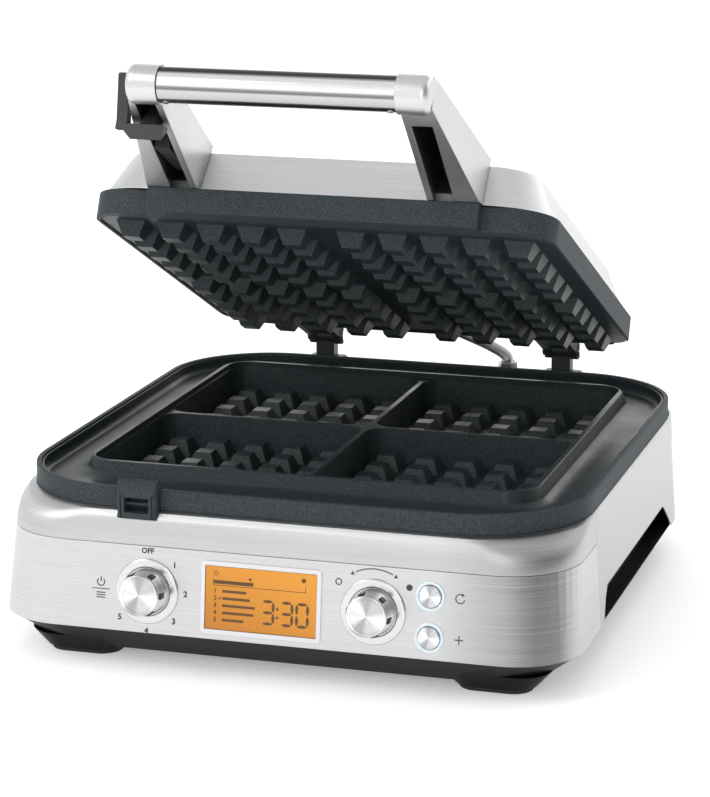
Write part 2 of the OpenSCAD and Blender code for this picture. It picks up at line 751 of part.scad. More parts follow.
// Turned knob with a dished face, grip flats and the shaft it turns on.
module knob(x, turn) {
    foot = 1.2;
    face_r = knob_d / 2 - 2.6;
    color("silver") place() on_panel(x, control_z) rotate([0, 0, turn]) union() {
        difference() {
            translate([0, 0, foot]) rotate_extrude() polygon(concat(
                [[0, 0], [knob_d / 2 - 0.4, 0], [knob_d / 2, 0.5], [knob_d / 2 - 0.6, 4]],
                [[face_r + 1, knob_h - foot - 2]],
                arc_points(face_r, knob_h - foot - 1, 1, 0, 90, 4),
                [[face_r - 1.4, knob_h - foot - 0.5], [0, knob_h - foot - 1]]));
            // scooped grip panels round the side
            for (k = [0:5]) rotate([0, 0, 60 * k + 30]) translate([knob_d / 2 - 0.9, 0, foot + 6])
                rotate([0, 7, 0]) translate([0, -2.2, 0]) cube([3, 4.4, knob_h - 11]);
            // room for the encoder's neck
            translate([0, 0, -1]) cylinder(d = bush_d + 1.2, h = foot + 2);
        }
        translate([0, 0, -5.5]) cylinder(d = shaft_d, h = foot + 10);
        // pointer ridge
        translate([0, face_r - 4, knob_h - 1.2]) translate([-0.6, 0, 0]) cube([1.2, 3.4, 0.9]);
    }
}
module menu_knob() knob(-menu_x, -90);
module shade_knob() knob(shade_x, 20);

module button_rings() {
    color("#dfe9ee") place() for (z = button_z) on_panel(button_x, z) difference() {
        rotate_extrude() polygon(concat([[button_d / 2 + gap, 0.02], [ring_d / 2, 0.02]],
            arc_points(ring_d / 2 - 1, 0.3, 1, 0, 90, 4), [[button_d / 2 + gap, 1]]));
    }
}
module push_button(z) {
    color("silver") place() on_panel(button_x, z) union() {
        translate([0, 0, -4]) rotate_extrude() polygon(concat([[0, 0], [button_d / 2, 0]],
            arc_points(button_d / 2 - 1, 5.4, 1, 0, 90, 4), [[0, 6.0]]));
        translate([0, 0, -7]) cylinder(d = 5, h = 4);
        translate([0, 0, -4.2]) cylinder(d = button_d + 2, h = 1.2);
    }
}
module restart_button() push_button(button_z[0]);
module more_button() push_button(button_z[1]);
module button_switches() {
    color("#303234") place() for (z = button_z) on_panel(button_x, z) {
        translate([-4, -4, -board_back]) cube([8, 8, board_back - 11]);
        translate([0, 0, -12]) cylinder(d = 3.4, h = 12 - 7 - button_travel - gap);
    }
}

// ---- lid, modelled closed ----

lid_low = rim_z + dam_rise + gap;          // cooking face of the upper plate
frame_low = lid_low - 0.9;
frame_top = frame_low + frame_h;
frame_half = dam_half + frame_out;
frame_front = well_back - frame_half - 8;
frame_back = well_back + frame_half;
frame_r = 28;
seat_half = dam_half + 0.6;                // opening that the plate sits in
nose_half = 112;                           // half width of the frame's raised front
nose_y = -top_front + 36;

module lid_frame() {
    ledge = 5;
    plate_top = lid_low + 4;
    seat_y0 = well_back - seat_half;
    seat_y1 = well_back + seat_half;
    color("#353b41") lid_place() difference() {
        union() {
            slab(frame_half, frame_front, frame_back, frame_r, frame_low, frame_top);
            translate([-nose_half, nose_y, frame_low])
                cube([2 * nose_half, frame_front - nose_y + 12, frame_h]);
            for (s = [-1, 1], e = [-1, 1]) {
                x = s * hinge_x + e * (post_w / 2 + ear_gap + ear_t / 2);
                translate([x - ear_t / 2, 0, 0]) hinge_ear();
            }
        }
        slab(seat_half, seat_y0, seat_y1, 18, frame_low - eps, plate_top);
        slab(seat_half - ledge, seat_y0 + ledge, seat_y1 - ledge, 14, frame_low, frame_top + 2);
        for (s = [-1, 1]) translate([s * hinge_x, hinge_y, hinge_low])
            rotate([0, 90, 0]) cylinder(d = pin_d, h = post_w + 4 * ear_t, center = true);
        // way in for the wires
        translate([nut_x, frame_back - 10, nut_z]) rotate([-90, 0, 0]) cylinder(d = 6, h = 20);
    }
}
// Ear from the frame's back over the rim's lip to the hinge pin.
module hinge_ear() {
    lip_back = hd + 1.5;
    translate([0, hinge_y, hinge_low]) rotate([0, 90, 0]) cylinder(r = ear_r, h = ear_t);
    rotate([90, 0, 90]) linear_extrude(ear_t)
        polygon([[frame_back - 8, frame_low + 1], [lip_back, frame_low + 1],
                 [hinge_y, hinge_low - ear_r], [hinge_y, hinge_low + ear_r],
                 [frame_back + 6, frame_top], [frame_back - 8, frame_top]]);
}

shell_low = frame_top + gap;
shell_r = 34;
shell_back = frame_back - 3;
// Lid shell levels [height above its foot, inset]: wall, shoulder, then crown.
function shell_steps() = concat([[0, 0], [shell_h * 0.68, shell_lean * 0.86]],
    [for (i = [1:5]) let (a = 18 * i)
        [shell_h * (0.68 + 0.32 * sin(a)), shell_lean * 0.86 + 34 * (1 - cos(a))]]);
// The front shoulder runs back further than the others.
function shell_front(inset) = frame_front - 2.5
    + (inset < 12 ? 0.9 * inset : 10.8 + 1.5 * (inset - 12));
function shell_level(s, t) =
    [shell_low + s[0] - (s[0] > 0 ? t : 0), frame_half - 3.5 - s[1] - t, shell_front(s[1]) + t,
     shell_back - s[1] - t, shell_r - min(s[1] / 3, 10) - t, shell_r - min(s[1] / 3, 10) - t];
module lid_shell() {
    steps = shell_steps();
    color("silver") lid_place() difference() {
        loft([for (s = steps) shell_level(s, 0)], 9);
        loft(concat([shell_level([-eps, 0], sheet_t)],
            [for (s = steps) shell_level(s, sheet_t)]), 9);
    }
}

module upper_plate() {
    half = seat_half - gap;
    color("#1e2226") lid_place() union() {
        slab(half, well_back - half, well_back + half, 17.6, lid_low, lid_low + 4);
        stud_field(lid_low, -1);
    }
}
upper_top = lid_low + 4;
module upper_element() {
    color("#6b6660") lid_place()
        element_loop(element_half, well_back - element_half, well_back + element_half,
            element_bend, upper_top + element_r + seat);
}
module upper_heat_shield() {
    h = seat_half - 9;
    z1 = upper_top + 2 * element_r + 4;
    color("lightgray") lid_place() difference() {
        slab(h, well_back - h, well_back + h, 16, upper_top, z1);
        slab(h - 1, well_back - h + 1, well_back + h - 1, 15, upper_top - eps, z1 - 1);
        translate([0, well_back, z1]) cylinder(d = 12, h = 10, center = true);
    }
}
module upper_thermostat() {
    color("#c9c5b8") lid_place() translate([0, well_back + 40, 0]) {
        translate([0, 0, upper_top]) cylinder(d = thermostat_d, h = 6);
        for (s = [-1, 1]) translate([s * 5, 0, upper_top + 7.5]) cube([2, 6, 4], center = true);
    }
}

module hinge_pins() {
    span = post_w / 2 + ear_gap + ear_t;
    color("silver") lid_place() for (s = [-1, 1])
        translate([s * hinge_x, hinge_y, hinge_low]) rotate([0, 90, 0]) {
            cylinder(d = pin_d, h = 2 * span + 2, center = true);
            for (e = [0, 180]) rotate([e, 0, 0]) translate([0, 0, span])
                cylinder(d = pin_d + 5, h = 1.8);
        }
}

// ---- handle ----

cap_r = grip_d / 2 + 1.2;
grip_wall = 2.5;
leg_wall = 4.3;            // inner wall of a leg
heel_wall = 3;             // wall of a leg against the shell
channel_end = 96;          // outer side of a leg's channel, from the middle
splay = 6.4;               // a leg's outer face turns out by this towards the lid
leg_draft = 5.7;           // and leans in by this towards its top
top_web = 3.5;
// Front outline of the shell, stood off by the seat gap, from its foot upwards.
function shell_nose() = [for (s = shell_steps()) if (s[1] < 15)
    [shell_front(s[1]) - gap, shell_low + s[0] + gap]];
leg_heel = shell_nose();
leg_top_back = [-146, rim_z + 52];
leg_top_front = [-handle_y + 11.5, rim_z + 71.5];

// Side view of a leg in y, z.
module leg_side() {
    polygon(concat(
        [[nose_y - 1, frame_top + gap], [shell_front(0) - gap, frame_top + gap]],
        leg_heel, [leg_top_back, leg_top_front,
        [-handle_y + 2, rim_z + handle_z + cap_r - 0.4],
        [-handle_y, rim_z + handle_z - cap_r + 4]]));
}
// Blank of a leg: its side view, cut by the outer face that splays towards the lid.
module leg_blank(side) {
    deep = 40;
    intersection() {
        translate([side > 0 ? leg_in : -leg_in - deep, 0, 0]) rotate([90, 0, 90])
            linear_extrude(deep) leg_side();
        translate([side * leg_half, -handle_y, rim_z + 51])
            rotate([0, -side * leg_draft, -side * splay])
                translate([side > 0 ? -3 * deep : 0, -3 * deep, -3 * deep])
                    cube([3 * deep, 8 * deep, 6 * deep]);
    }
}
// Cap over the tube's end, with the neck and spigot that the tube slides over.
module leg_cap(side) {
    round_r = 5;
    long = leg_half - 0.5 - grip_half - gap;
    translate([side * (grip_half + gap), -handle_y, rim_z + handle_z])
        rotate([0, side * 90, 0]) rotate_extrude() polygon(concat(
            [[0, -11.5], [grip_d / 2 - grip_wall - gap, -11.5],
             [grip_d / 2 - grip_wall - gap, 0], [cap_r, 0]],
            arc_points(cap_r - round_r, long - round_r, round_r, 0, 90, 6), [[0, long]]));
}
// Channel of a leg, open downwards; its mouth starts this far behind the handle's axis.
module leg_channel(side, mouth) {
    wide = channel_end - leg_in - leg_wall;
    slope = (leg_top_back[1] - leg_top_front[1]) / (leg_top_back[0] - leg_top_front[0]);
    front = -handle_y + mouth;
    heel = shell_front(10) - heel_wall;
    function roof(y) = leg_top_front[1] + slope * (y - leg_top_front[0]) - top_web;
    translate([side > 0 ? leg_in + leg_wall : -channel_end, 0, 0]) rotate([90, 0, 90])
        linear_extrude(wide) polygon([
            [front, frame_top - 8], [shell_front(0) - heel_wall, frame_top - 8],
            [shell_front(0) - gap - heel_wall, frame_top + 6],
            [heel, shell_low + shell_h * 0.6], [heel, roof(heel)], [front + 5, roof(front + 5)],
            [front, roof(front + 5) - 9]]);
}
module handle_leg(side) {
    color("silver") lid_place() union() {
        difference() {
            leg_blank(side);
            leg_channel(side, side > 0 ? 17 : 6);
            if (side < 0) translate([-latch_pin_x, latch_y, latch_z]) rotate([0, 90, 0])
                cylinder(d = latch_pin_d, h = latch_pin_l + 2 * gap, center = true);
        }
        leg_cap(side);
    }
}
module handle_leg_left() handle_leg(-1);
module handle_leg_right() handle_leg(1);

module handle_bar() {
    color("gainsboro") lid_place() translate([0, -handle_y, rim_z + handle_z])
        rotate([0, 90, 0]) difference() {
            cylinder(d = grip_d, h = 2 * grip_half, center = true, $fn = 72);
            cylinder(d = grip_d - 2 * grip_wall, h = 2 * grip_half + 2, center = true);
            for (s = [-1, 1]) translate([0, 0, s * (grip_half - 4)]) rotate([0, 90, 0])
                cylinder(d = rivet_d + 0.2, h = grip_d);
        }
}
rivet_d = 4;
module handle_rivets() {
    color("gray") lid_place() for (s = [-1, 1])
        translate([s * (grip_half - 4), -handle_y, rim_z + handle_z - grip_d / 2])
            translate([0, 0, -0.4]) cylinder(d = rivet_d, h = 2.9 - gap);
}

// ---- latch ----

latch_y = -163;
latch_z = rim_z + 36;
latch_pin_d = 4;
latch_pin_x = 90;          // middle of the pin and of the lever, from the middle
latch_pin_l = 21;
latch_w = 10;

// Latched outline in y, z from the pivot: arm over the keeper's crest, hook leg and nose.
nose_t = 2.7;
module latch_outline() {
    hook_y = -hd - keeper_out - 3.5 - latch_y;        // rear face of the hook leg
    tip_y = -hd - keeper_out + 4.5 - latch_y;         // tip of the nose in the slot
    low = rim_z - slot_low + 0.9 - latch_z;           // underside of the nose
    crest = rim_z + keeper_top + 2.7 - latch_z;       // how low the arm reaches over the crest
    difference() {
        union() {
            circle(r = 5.5);
            polygon([[3.9, -3.9], [-29.7, crest - 6.4], [-36, crest + 0.5], [hook_y, crest],
                     [hook_y, low + nose_t + 0.4], [tip_y, low + nose_t], [tip_y, low + 1],
                     [tip_y - 1.5, low], [hook_y - 6.5, low - 3], [hook_y - 6.5, crest - 1],
                     [-49.5, -21.2], [-6.4, 1.5], [0, 5.5]]);
        }
        circle(d = latch_pin_d + 2 * pin_play);
    }
}
module latch_lever() {
    tab_x = -leg_half - 4.8;
    tab_t = 7.3;
    lean = tab_h * tan(14);
    left = -leg_half - 5.8;    // left end of the block
    color("#2b2f33") lid_place() translate([0, latch_y, latch_z]) rotate([-latch_swing, 0, 0]) {
        translate([-latch_pin_x - latch_w / 2, 0, 0]) rotate([90, 0, 90])
            linear_extrude(latch_w) latch_outline();
        rotate([latch_swing, 0, 0]) {
            // block across the leg's lower edge
            difference() {
                translate([left, 0, 0]) rotate([90, 0, 90]) linear_extrude(-left - leg_in - 1)
                    polygon([[-78, 2.2], [-78, -8], [-69.5, 0.5], [-69.5, 2.6]]);
                translate([left, -75, -8]) rotate([0, 45, 0]) cube([7, 20, 7], center = true);
            }
            // thumb tab outside the leg
            translate([tab_x - tab_t, 0, 0]) rotate([90, 0, 90]) linear_extrude(tab_t)
                polygon([[-77.5, -1.5], [-70.5, -0.5], [-70, 4.6],
                         [-70 - lean, 2.6 + tab_h], [-72 - lean, 4.6 + tab_h],
                         [-75.5 - lean, 4.6 + tab_h], [-77 - lean, 3.1 + tab_h], [-77, 4.6]]);
        }
    }
}
module latch_pin() {
    color("gray") lid_place() translate([-latch_pin_x, latch_y, latch_z]) rotate([0, 90, 0])
        cylinder(d = latch_pin_d, h = latch_pin_l, center = true);
}
module latch_spring() {
    turns = 2;
    wire = 0.6;
    pitch = 0.8;
    r = latch_pin_d / 2 + wire / 2 + 0.25;
    x0 = -latch_pin_x + latch_w / 2 + 0.15 + wire / 2;
    route = [for (i = [0:12 * turns]) let (a = 30 * i)
        [x0 + pitch * i / 12, r * cos(a), r * sin(a)]];
    color("gray") lid_place() translate([0, latch_y, latch_z]) tube_along(route, wire / 2, 6);
}

// ---- lead between base and lid ----

conduit_d = 9;
nut_d = 15;                // across the corners
nut_h = 7;
nut_x = 8;                 // the lid's nut, across and up, lid shut
nut_z = frame_low + 8.3;
conduit_foot = [50, 216, hump_top + nut_h];
conduit_route = concat(
    [conduit_foot - [0, 0, 2.5], conduit_foot + [0, 0, 2]],
    [for (p = [[47, 213, 8], [39, 209, 13.5], [30, 205.5, 18.5], [21, 199.5, 24],
               [14, 192, 29]]) [p[0], p[1], p[2] + rim_z]],
    [lid_open([nut_x, frame_back + nut_h + 3, nut_z]),
     lid_open([nut_x, frame_back + nut_h - 2.5, nut_z])]);
module wire_conduit() {
    color("silver") place() tube_along(spline(conduit_route, 4), conduit_d / 2, 10);
}
// Hexagonal nut with a socket that the conduit ends in.
module conduit_nut() {
    difference() {
        cylinder(d = nut_d, h = nut_h, $fn = 6);
        translate([0, 0, -1]) cylinder(d = 6, h = nut_h + 2);
        translate([0, 0, nut_h - 3.6]) cylinder(d = conduit_d + 1.8, h = 4);
    }
}
module conduit_nut_base() {
    color("gray") place() translate([conduit_foot[0], conduit_foot[1], hump_top]) conduit_nut();
}
module conduit_nut_lid() {
    color("gray") lid_place() translate([nut_x, frame_back, nut_z]) rotate([-90, 0, 0])
        conduit_nut();
}

base_tray();
foot_pads();
front_panel();
front_shoulder();
side_housing();
lower_frame();
lower_plate();
lower_element();
lower_heat_shield();
lower_thermostat();
latch_keeper();
hinge_housing();
hinge_guides();
hinge_yoke();
hinge_post_left();
hinge_post_right();
cord_gland();
control_board();
board_posts();
lcd_module();
lcd_window();
lcd_bezel();
menu_bezel();
shade_bezel();
menu_encoder();
shade_encoder();
menu_knob();
shade_knob();
button_rings();
restart_button();
more_button();
button_switches();
tray_screws();
lid_frame();
lid_shell();
upper_plate();
upper_element();
upper_heat_shield();
upper_thermostat();
hinge_pins();
handle_leg_left();
handle_leg_right();
handle_bar();
handle_rivets();
latch_lever();
latch_pin();
latch_spring();
wire_conduit();
conduit_nut_base();
conduit_nut_lid();
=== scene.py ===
import math

import bpy
from mathutils import Matrix, Vector


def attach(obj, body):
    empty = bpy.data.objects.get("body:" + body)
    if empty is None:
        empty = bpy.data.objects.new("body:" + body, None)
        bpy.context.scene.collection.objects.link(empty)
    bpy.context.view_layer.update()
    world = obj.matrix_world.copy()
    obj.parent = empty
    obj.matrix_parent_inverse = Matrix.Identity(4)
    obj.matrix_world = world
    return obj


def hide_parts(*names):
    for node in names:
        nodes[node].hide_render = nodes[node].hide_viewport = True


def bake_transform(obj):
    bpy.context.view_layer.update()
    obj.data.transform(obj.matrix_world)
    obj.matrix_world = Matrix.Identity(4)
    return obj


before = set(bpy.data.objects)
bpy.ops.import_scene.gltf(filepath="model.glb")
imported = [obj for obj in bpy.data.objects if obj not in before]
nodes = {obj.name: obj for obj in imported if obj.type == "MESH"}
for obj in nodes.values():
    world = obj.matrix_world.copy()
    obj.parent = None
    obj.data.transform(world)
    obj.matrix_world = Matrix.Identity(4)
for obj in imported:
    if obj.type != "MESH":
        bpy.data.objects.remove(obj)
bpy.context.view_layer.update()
mm = 0.001

# where things sit on the machine, in millimetres and degrees
layout = {
    "centreY": 3.7963,      # the rim's middle lies this far behind the origin
    "rimTop": 118.5,
    "panelTopY": -212.0,
    "seamZ": 83.5,          # upper edge of the control panel
    "skirtZ": 26.5,         # lower edge of the control panel
    "panelLean": 6.0,       # the lower edge stands this far in front of the upper one
    "controlZ": 53.9,
    "menuX": -84.0,
    "browningX": 68.0,
    "buttonX": 105.0,
    "buttonGap": 26.4,
    "lcdX": -6.8,
    "lidAngle": 24.8,
}
panelTall = layout["seamZ"] - layout["skirtZ"]
panelTilt = math.atan(layout["panelLean"] / panelTall)


def panelPlace(x, z, out=0.0):
    # x across, z up in mm; the local Z axis points straight out of the panel
    y = layout["panelTopY"] - layout["panelLean"] * (layout["seamZ"] - z) / panelTall
    turn = Matrix.Rotation(math.radians(90) - panelTilt, 4, "X")
    spot = Vector((x, y + layout["centreY"], z)) * mm
    return Matrix.Translation(spot) @ turn @ Matrix.Translation((0, 0, out * mm))


view = {
    "azimuth": 16.56, "elevation": 13.75, "distance": 2.02728, "lens": 130.53,
    "target": (-0.00847, 0.005626, 0.13634),
}


def addCamera():
    az, el = math.radians(view["azimuth"]), math.radians(view["elevation"])
    back = Vector((math.sin(az) * math.cos(el), -math.cos(az) * math.cos(el), math.sin(el)))
    target = Vector(view["target"])
    bpy.ops.object.camera_add(location=target + back * view["distance"])
    camera = bpy.context.object
    camera.rotation_euler = (-back).to_track_quat("-Z", "Y").to_euler()
    camera.data.lens = view["lens"]
    camera.data.sensor_width = 36
    camera.data.sensor_fit = "AUTO"
    camera.data.clip_end = 60
    bpy.context.scene.camera = camera


# name, place, size, watts, colour
lamps = [
    ("keySoft", (-1.6, -1.5, 1.9), (1.3, 1.0), 19, (1.0, 0.995, 0.985)),
    ("rightSoft", (1.9, 0.9, 1.3), (1.0, 1.3), 3.5, (0.985, 0.99, 1.0)),
    ("backSoft", (0.1, 2.1, 0.95), (2.2, 0.7), 7, (1.0, 1.0, 1.0)),
    ("frontStrip", (0.5, -2.2, 1.0), (0.35, 1.2), 6, (1.0, 1.0, 1.0)),
]
lampAim = Vector((0, 0, 0.15))


def addLamps():
    for name, place, size, watts, tint in lamps:
        bpy.ops.object.light_add(type="AREA", location=place)
        lamp = bpy.context.object
        lamp.name = name
        lamp.data.shape = "RECTANGLE"
        lamp.data.size, lamp.data.size_y = size
        lamp.data.energy = watts
        lamp.data.color = tint
        lamp.rotation_euler = (lampAim - Vector(place)).to_track_quat("-Z", "Y").to_euler()


room = {
    "low": ((0.40, 0.95), (0.60, 1.0)),    # share of the height and brightness there
    "high": ((0.74, 0.95), (0.82, 0.72), (0.90, 0.66), (1.0, 0.72)),
    "highBlue": 1.01,
    "darkSide": (0.92, -0.39, 0.0),    # off to the right of the controls
    "darkFrom": 0.55, "darkTo": 0.95, "bright": 1.12, "dark": 0.12,
}


def addWorld():
    world = bpy.data.worlds.new("studioRoom")
    bpy.context.scene.world = world
    world.use_nodes = True
    tree = world.node_tree
    tree.nodes.clear()
    place = tree.nodes.new("ShaderNodeTexCoord")
    split = tree.nodes.new("ShaderNodeSeparateXYZ")
    lift = tree.nodes.new("ShaderNodeMapRange")
    ramp = tree.nodes.new("ShaderNodeValToRGB")
    shade = tree.nodes.new("ShaderNodeBackground")
    out = tree.nodes.new("ShaderNodeOutputWorld")
    lift.inputs["From Min"].default_value = -1
    tree.links.new(place.outputs["Generated"], split.inputs[0])
    tree.links.new(split.outputs["Z"], lift.inputs["Value"])
    tree.links.new(lift.outputs[0], ramp.inputs[0])
    stops = ramp.color_ramp.elements
    for index, (spot, level) in enumerate(room["low"]):
        stops[index].position = spot
        stops[index].color = (level, level, level, 1)
    for spot, level in room["high"]:
        stop = stops.new(spot)
        stop.color = (level, level, level * room["highBlue"], 1)
    # one side of the room is darker
    aim = tree.nodes.new("ShaderNodeVectorMath")
    aim.operation = "DOT_PRODUCT"
    aim.inputs[1].default_value = room["darkSide"]
    tree.links.new(place.outputs["Generated"], aim.inputs[0])
    fall = tree.nodes.new("ShaderNodeMapRange")
    fall.inputs["From Min"].default_value = room["darkFrom"]
    fall.inputs["From Max"].default_value = room["darkTo"]
    fall.inputs["To Min"].default_value = room["bright"]
    fall.inputs["To Max"].default_value = room["dark"]
    tree.links.new(aim.outputs["Value"], fall.inputs["Value"])
    tree.links.new(fall.outputs[0], shade.inputs["Strength"])
    tree.links.new(ramp.outputs[0], shade.inputs["Color"])
    tree.links.new(shade.outputs[0], out.inputs[0])


floorLook = {"size": 40, "centreY": 8, "color": (0.96, 0.96, 0.96, 1), "rough": 0.62,
             "glow": 0.32, "gloss": 0.25}


def addFloor():
    bpy.ops.mesh.primitive_plane_add(size=floorLook["size"], location=(0, floorLook["centreY"], 0))
    floor = bpy.context.object
    floor.name = "floor"
    paint = bpy.data.materials.new("paleFloor")
    paint.use_nodes = True
    shader = paint.node_tree.nodes["Principled BSDF"]
    shader.inputs["Base Color"].default_value = floorLook["color"]
    shader.inputs["Roughness"].default_value = floorLook["rough"]
    shader.inputs["Emission Color"].default_value = (1, 1, 1, 1)
    shader.inputs["Emission Strength"].default_value = floorLook["glow"]
    shader.inputs["Specular IOR Level"].default_value = floorLook["gloss"]
    floor.data.materials.append(paint)


addCamera()
addLamps()
addWorld()
addFloor()
bpy.context.scene.view_settings.view_transform = "Standard"    # plain contrast for bright steel
print("camera, lamps and floor are set")


# short names for the shader's sockets that the finishes set
sockets = {
    "color": "Base Color", "metal": "Metallic", "rough": "Roughness", "gloss": "Specular IOR Level",
    "coat": "Coat Weight", "coatRough": "Coat Roughness", "aniso": "Anisotropic",
    "glow": "Emission Strength", "glowColor": "Emission Color", "soft": "Subsurface Weight",
}


class Finish:
    # one material with the few links that every finish here needs
    def __init__(self, name):
        self.material = bpy.data.materials.new(name)
        self.material.use_nodes = True
        self.tree = self.material.node_tree
        self.shader = self.tree.nodes["Principled BSDF"]
        self.place = self.tree.nodes.new("ShaderNodeTexCoord")

    def add(self, kind, **values):
        node = self.tree.nodes.new(kind)
        for key, value in values.items():
            setattr(node, key, value)
        return node

    def link(self, start, end):
        self.tree.links.new(start, end)

    def put(self, **values):
        for key, value in values.items():
            if isinstance(value, tuple):
                value = (*value, 1.0)
            self.shader.inputs[sockets[key]].default_value = value

    def grain(self, scale=1.0, detail=3.0, stretch=(1, 1, 1), turn=(0, 0, 0)):
        # noise on object coordinates, finer along one way; turn lines it up with a leaning part
        line = self.add("ShaderNodeMapping", vector_type="TEXTURE")
        line.inputs["Rotation"].default_value = [math.radians(a) for a in turn]
        size = self.add("ShaderNodeMapping")
        size.inputs["Scale"].default_value = stretch
        noise = self.add("ShaderNodeTexNoise")
        noise.inputs["Scale"].default_value = scale
        noise.inputs["Detail"].default_value = detail
        self.link(self.place.outputs["Object"], line.inputs["Vector"])
        self.link(line.outputs[0], size.inputs["Vector"])
        self.link(size.outputs[0], noise.inputs["Vector"])
        return noise.outputs["Fac"]

    def reckon(self, operation, *values):
        # plain numbers go on the node's own sockets
        node = self.add("ShaderNodeMath", operation=operation)
        for socket, value in zip(node.inputs, values):
            if isinstance(value, (int, float)):
                socket.default_value = value
            else:
                self.link(value, socket)
        return node.outputs[0]

    def part(self, vector, letter):
        split = self.add("ShaderNodeSeparateXYZ")
        self.link(vector, split.inputs[0])
        return split.outputs[letter]

    def along(self, vector, way):
        reach = self.add("ShaderNodeVectorMath", operation="DOT_PRODUCT")
        reach.inputs[1].default_value = way
        self.link(vector, reach.inputs[0])
        return reach.outputs["Value"]

    def spread(self, value, low, high, fromLow=0.3, fromHigh=0.7):
        node = self.add("ShaderNodeMapRange")
        node.inputs["From Min"].default_value = fromLow
        node.inputs["From Max"].default_value = fromHigh
        node.inputs["To Min"].default_value = low
        node.inputs["To Max"].default_value = high
        self.link(value, node.inputs["Value"])
        return node.outputs[0]

    def tint(self, value, dark, light):
        node = self.add("ShaderNodeMix", data_type="RGBA")
        node.inputs["A"].default_value = (*dark, 1)
        node.inputs["B"].default_value = (*light, 1)
        self.link(value, node.inputs["Factor"])
        self.link(node.outputs["Result"], self.shader.inputs["Base Color"])
        return node.outputs["Result"]

    def roughen(self, value, low, high, fromLow=0.3, fromHigh=0.7):
        self.link(self.spread(value, low, high, fromLow, fromHigh), self.shader.inputs["Roughness"])

    def relief(self, value, strength, depth, edge):
        # fine bumps, and edges that look rounded by a small radius
        bump = self.add("ShaderNodeBump")
        bump.inputs["Strength"].default_value = strength
        bump.inputs["Distance"].default_value = depth
        bevel = self.add("ShaderNodeBevel", samples=4)
        bevel.inputs["Radius"].default_value = edge
        self.link(value, bump.inputs["Height"])
        self.link(bevel.outputs[0], bump.inputs["Normal"])
        self.link(bump.outputs[0], self.shader.inputs["Normal"])

    def strokesRound(self, axis, way):
        # brushing and turning marks run round an axis
        cross = self.add("ShaderNodeVectorMath", operation="CROSS_PRODUCT")
        cross.inputs[0].default_value = axis
        self.link(way, cross.inputs[1])
        self.link(cross.outputs[0], self.shader.inputs["Tangent"])


def times(color, factor):
    return tuple(min(1, c * factor) for c in color)


# painted shade where the sheet bends round the front right corner: where it lies across, in metres,
# how square to it a face is, and how deep it goes
paintedCornerShade = {"fromX": 0.108, "toX": 0.172, "slant": 0.78, "square": 0.99, "depth": 3.2}


# corner sets how deep the painted shade at the front right bend goes
def brushedSheet(name, light, rough, stretch, turn=(0, 0, 0), axis=(0, 0, 1), aniso=0.55,
                 contrast=0.07, corner=0.0):
    f = Finish(name)
    streak = f.grain(1.0, 4.0, stretch, turn)
    normal = f.add("ShaderNodeNewGeometry").outputs["Normal"]
    f.put(metal=1.0, aniso=aniso)
    shade = f.spread(streak, 0, 1, 0.25, 0.75)
    dark = times(light, 1 - contrast)
    if corner > 0:
        # painted shade: the colour darkens where the sheet bends round the front right corner,
        # standing in for the darker room it would reflect there
        depth = paintedCornerShade["depth"] * corner
        across = f.part(f.place.outputs["Object"], "X")
        cornerShadeMask = f.reckon("MULTIPLY", f.spread(across, 0, 1, paintedCornerShade["fromX"], paintedCornerShade["toX"]),
                        f.spread(f.part(normal, "X"), 1, 0, paintedCornerShade["slant"], paintedCornerShade["square"]))
        shade = f.reckon("SUBTRACT", shade, f.spread(cornerShadeMask, 0, depth, 0, 1))
        shade = f.spread(shade, 0, 1, -depth, 1)
        dark = times(light, 1 - corner)
    f.tint(shade, dark, times(light, 1 + contrast))
    f.roughen(streak, rough - 0.05, rough + 0.06)
    f.relief(streak, 0.12, 0.00006, 0.0006)
    f.strokesRound(axis, normal)
    return f.material


def satinCasting(name, color, rough, metal=0.92, grainSize=1400, contrast=0.10, edge=0.0009,
                 recessShadeReach=0.0):
    f = Finish(name)
    fine = f.grain(grainSize, 2.0)
    broad = f.grain(22, 2.0)
    f.put(metal=metal)
    shade = f.spread(fine, 0, 1)
    dark = times(color, 1 - contrast)
    if recessShadeReach > 0:
        # painted shade: the colour darkens by ambient occlusion down inside a channel, where shade
        # falls
        depth = f.add("ShaderNodeAmbientOcclusion", samples=6)
        depth.inputs["Distance"].default_value = recessShadeReach
        shade = f.reckon("MULTIPLY", f.spread(depth.outputs["AO"], 0.02, 1, 0.30, 0.80),
                         f.spread(fine, 0.88, 1))
        dark = times(color, 0.06)
    f.tint(shade, dark, times(color, 1 + contrast))
    f.roughen(broad, rough - 0.05, rough + 0.05)
    f.relief(fine, 0.10, 0.00008, edge)
    return f.material


def speckledCoat(name, color, speck, rough):
    # dark stove coating with fine pale specks and a pebbled skin
    f = Finish(name)
    dots = f.add("ShaderNodeTexVoronoi")
    dots.inputs["Scale"].default_value = 1050
    f.link(f.place.outputs["Object"], dots.inputs["Vector"])
    fine = f.grain(1100, 3.0)
    both = f.reckon("MULTIPLY", f.spread(dots.outputs["Distance"], 1, 0.1, 0.12, 0.62),
                    f.spread(fine, 0, 1, 0.36, 0.66))
    f.tint(both, color, speck)
    f.put(metal=0.0, gloss=0.08)
    f.roughen(fine, rough - 0.08, rough + 0.08)
    f.relief(fine, 0.30, 0.00018, 0.0009)
    return f.material


def nonStick(name, color, rough):
    f = Finish(name)
    fine = f.grain(1000, 2.0)
    broad = f.grain(30, 3.0)
    f.tint(f.spread(fine, 0, 1, 0.35, 0.68), times(color, 0.7), times(color, 1.7))
    f.put(gloss=0.20)
    f.roughen(broad, rough - 0.05, rough + 0.07)
    f.relief(fine, 0.16, 0.0001, 0.0010)
    return f.material


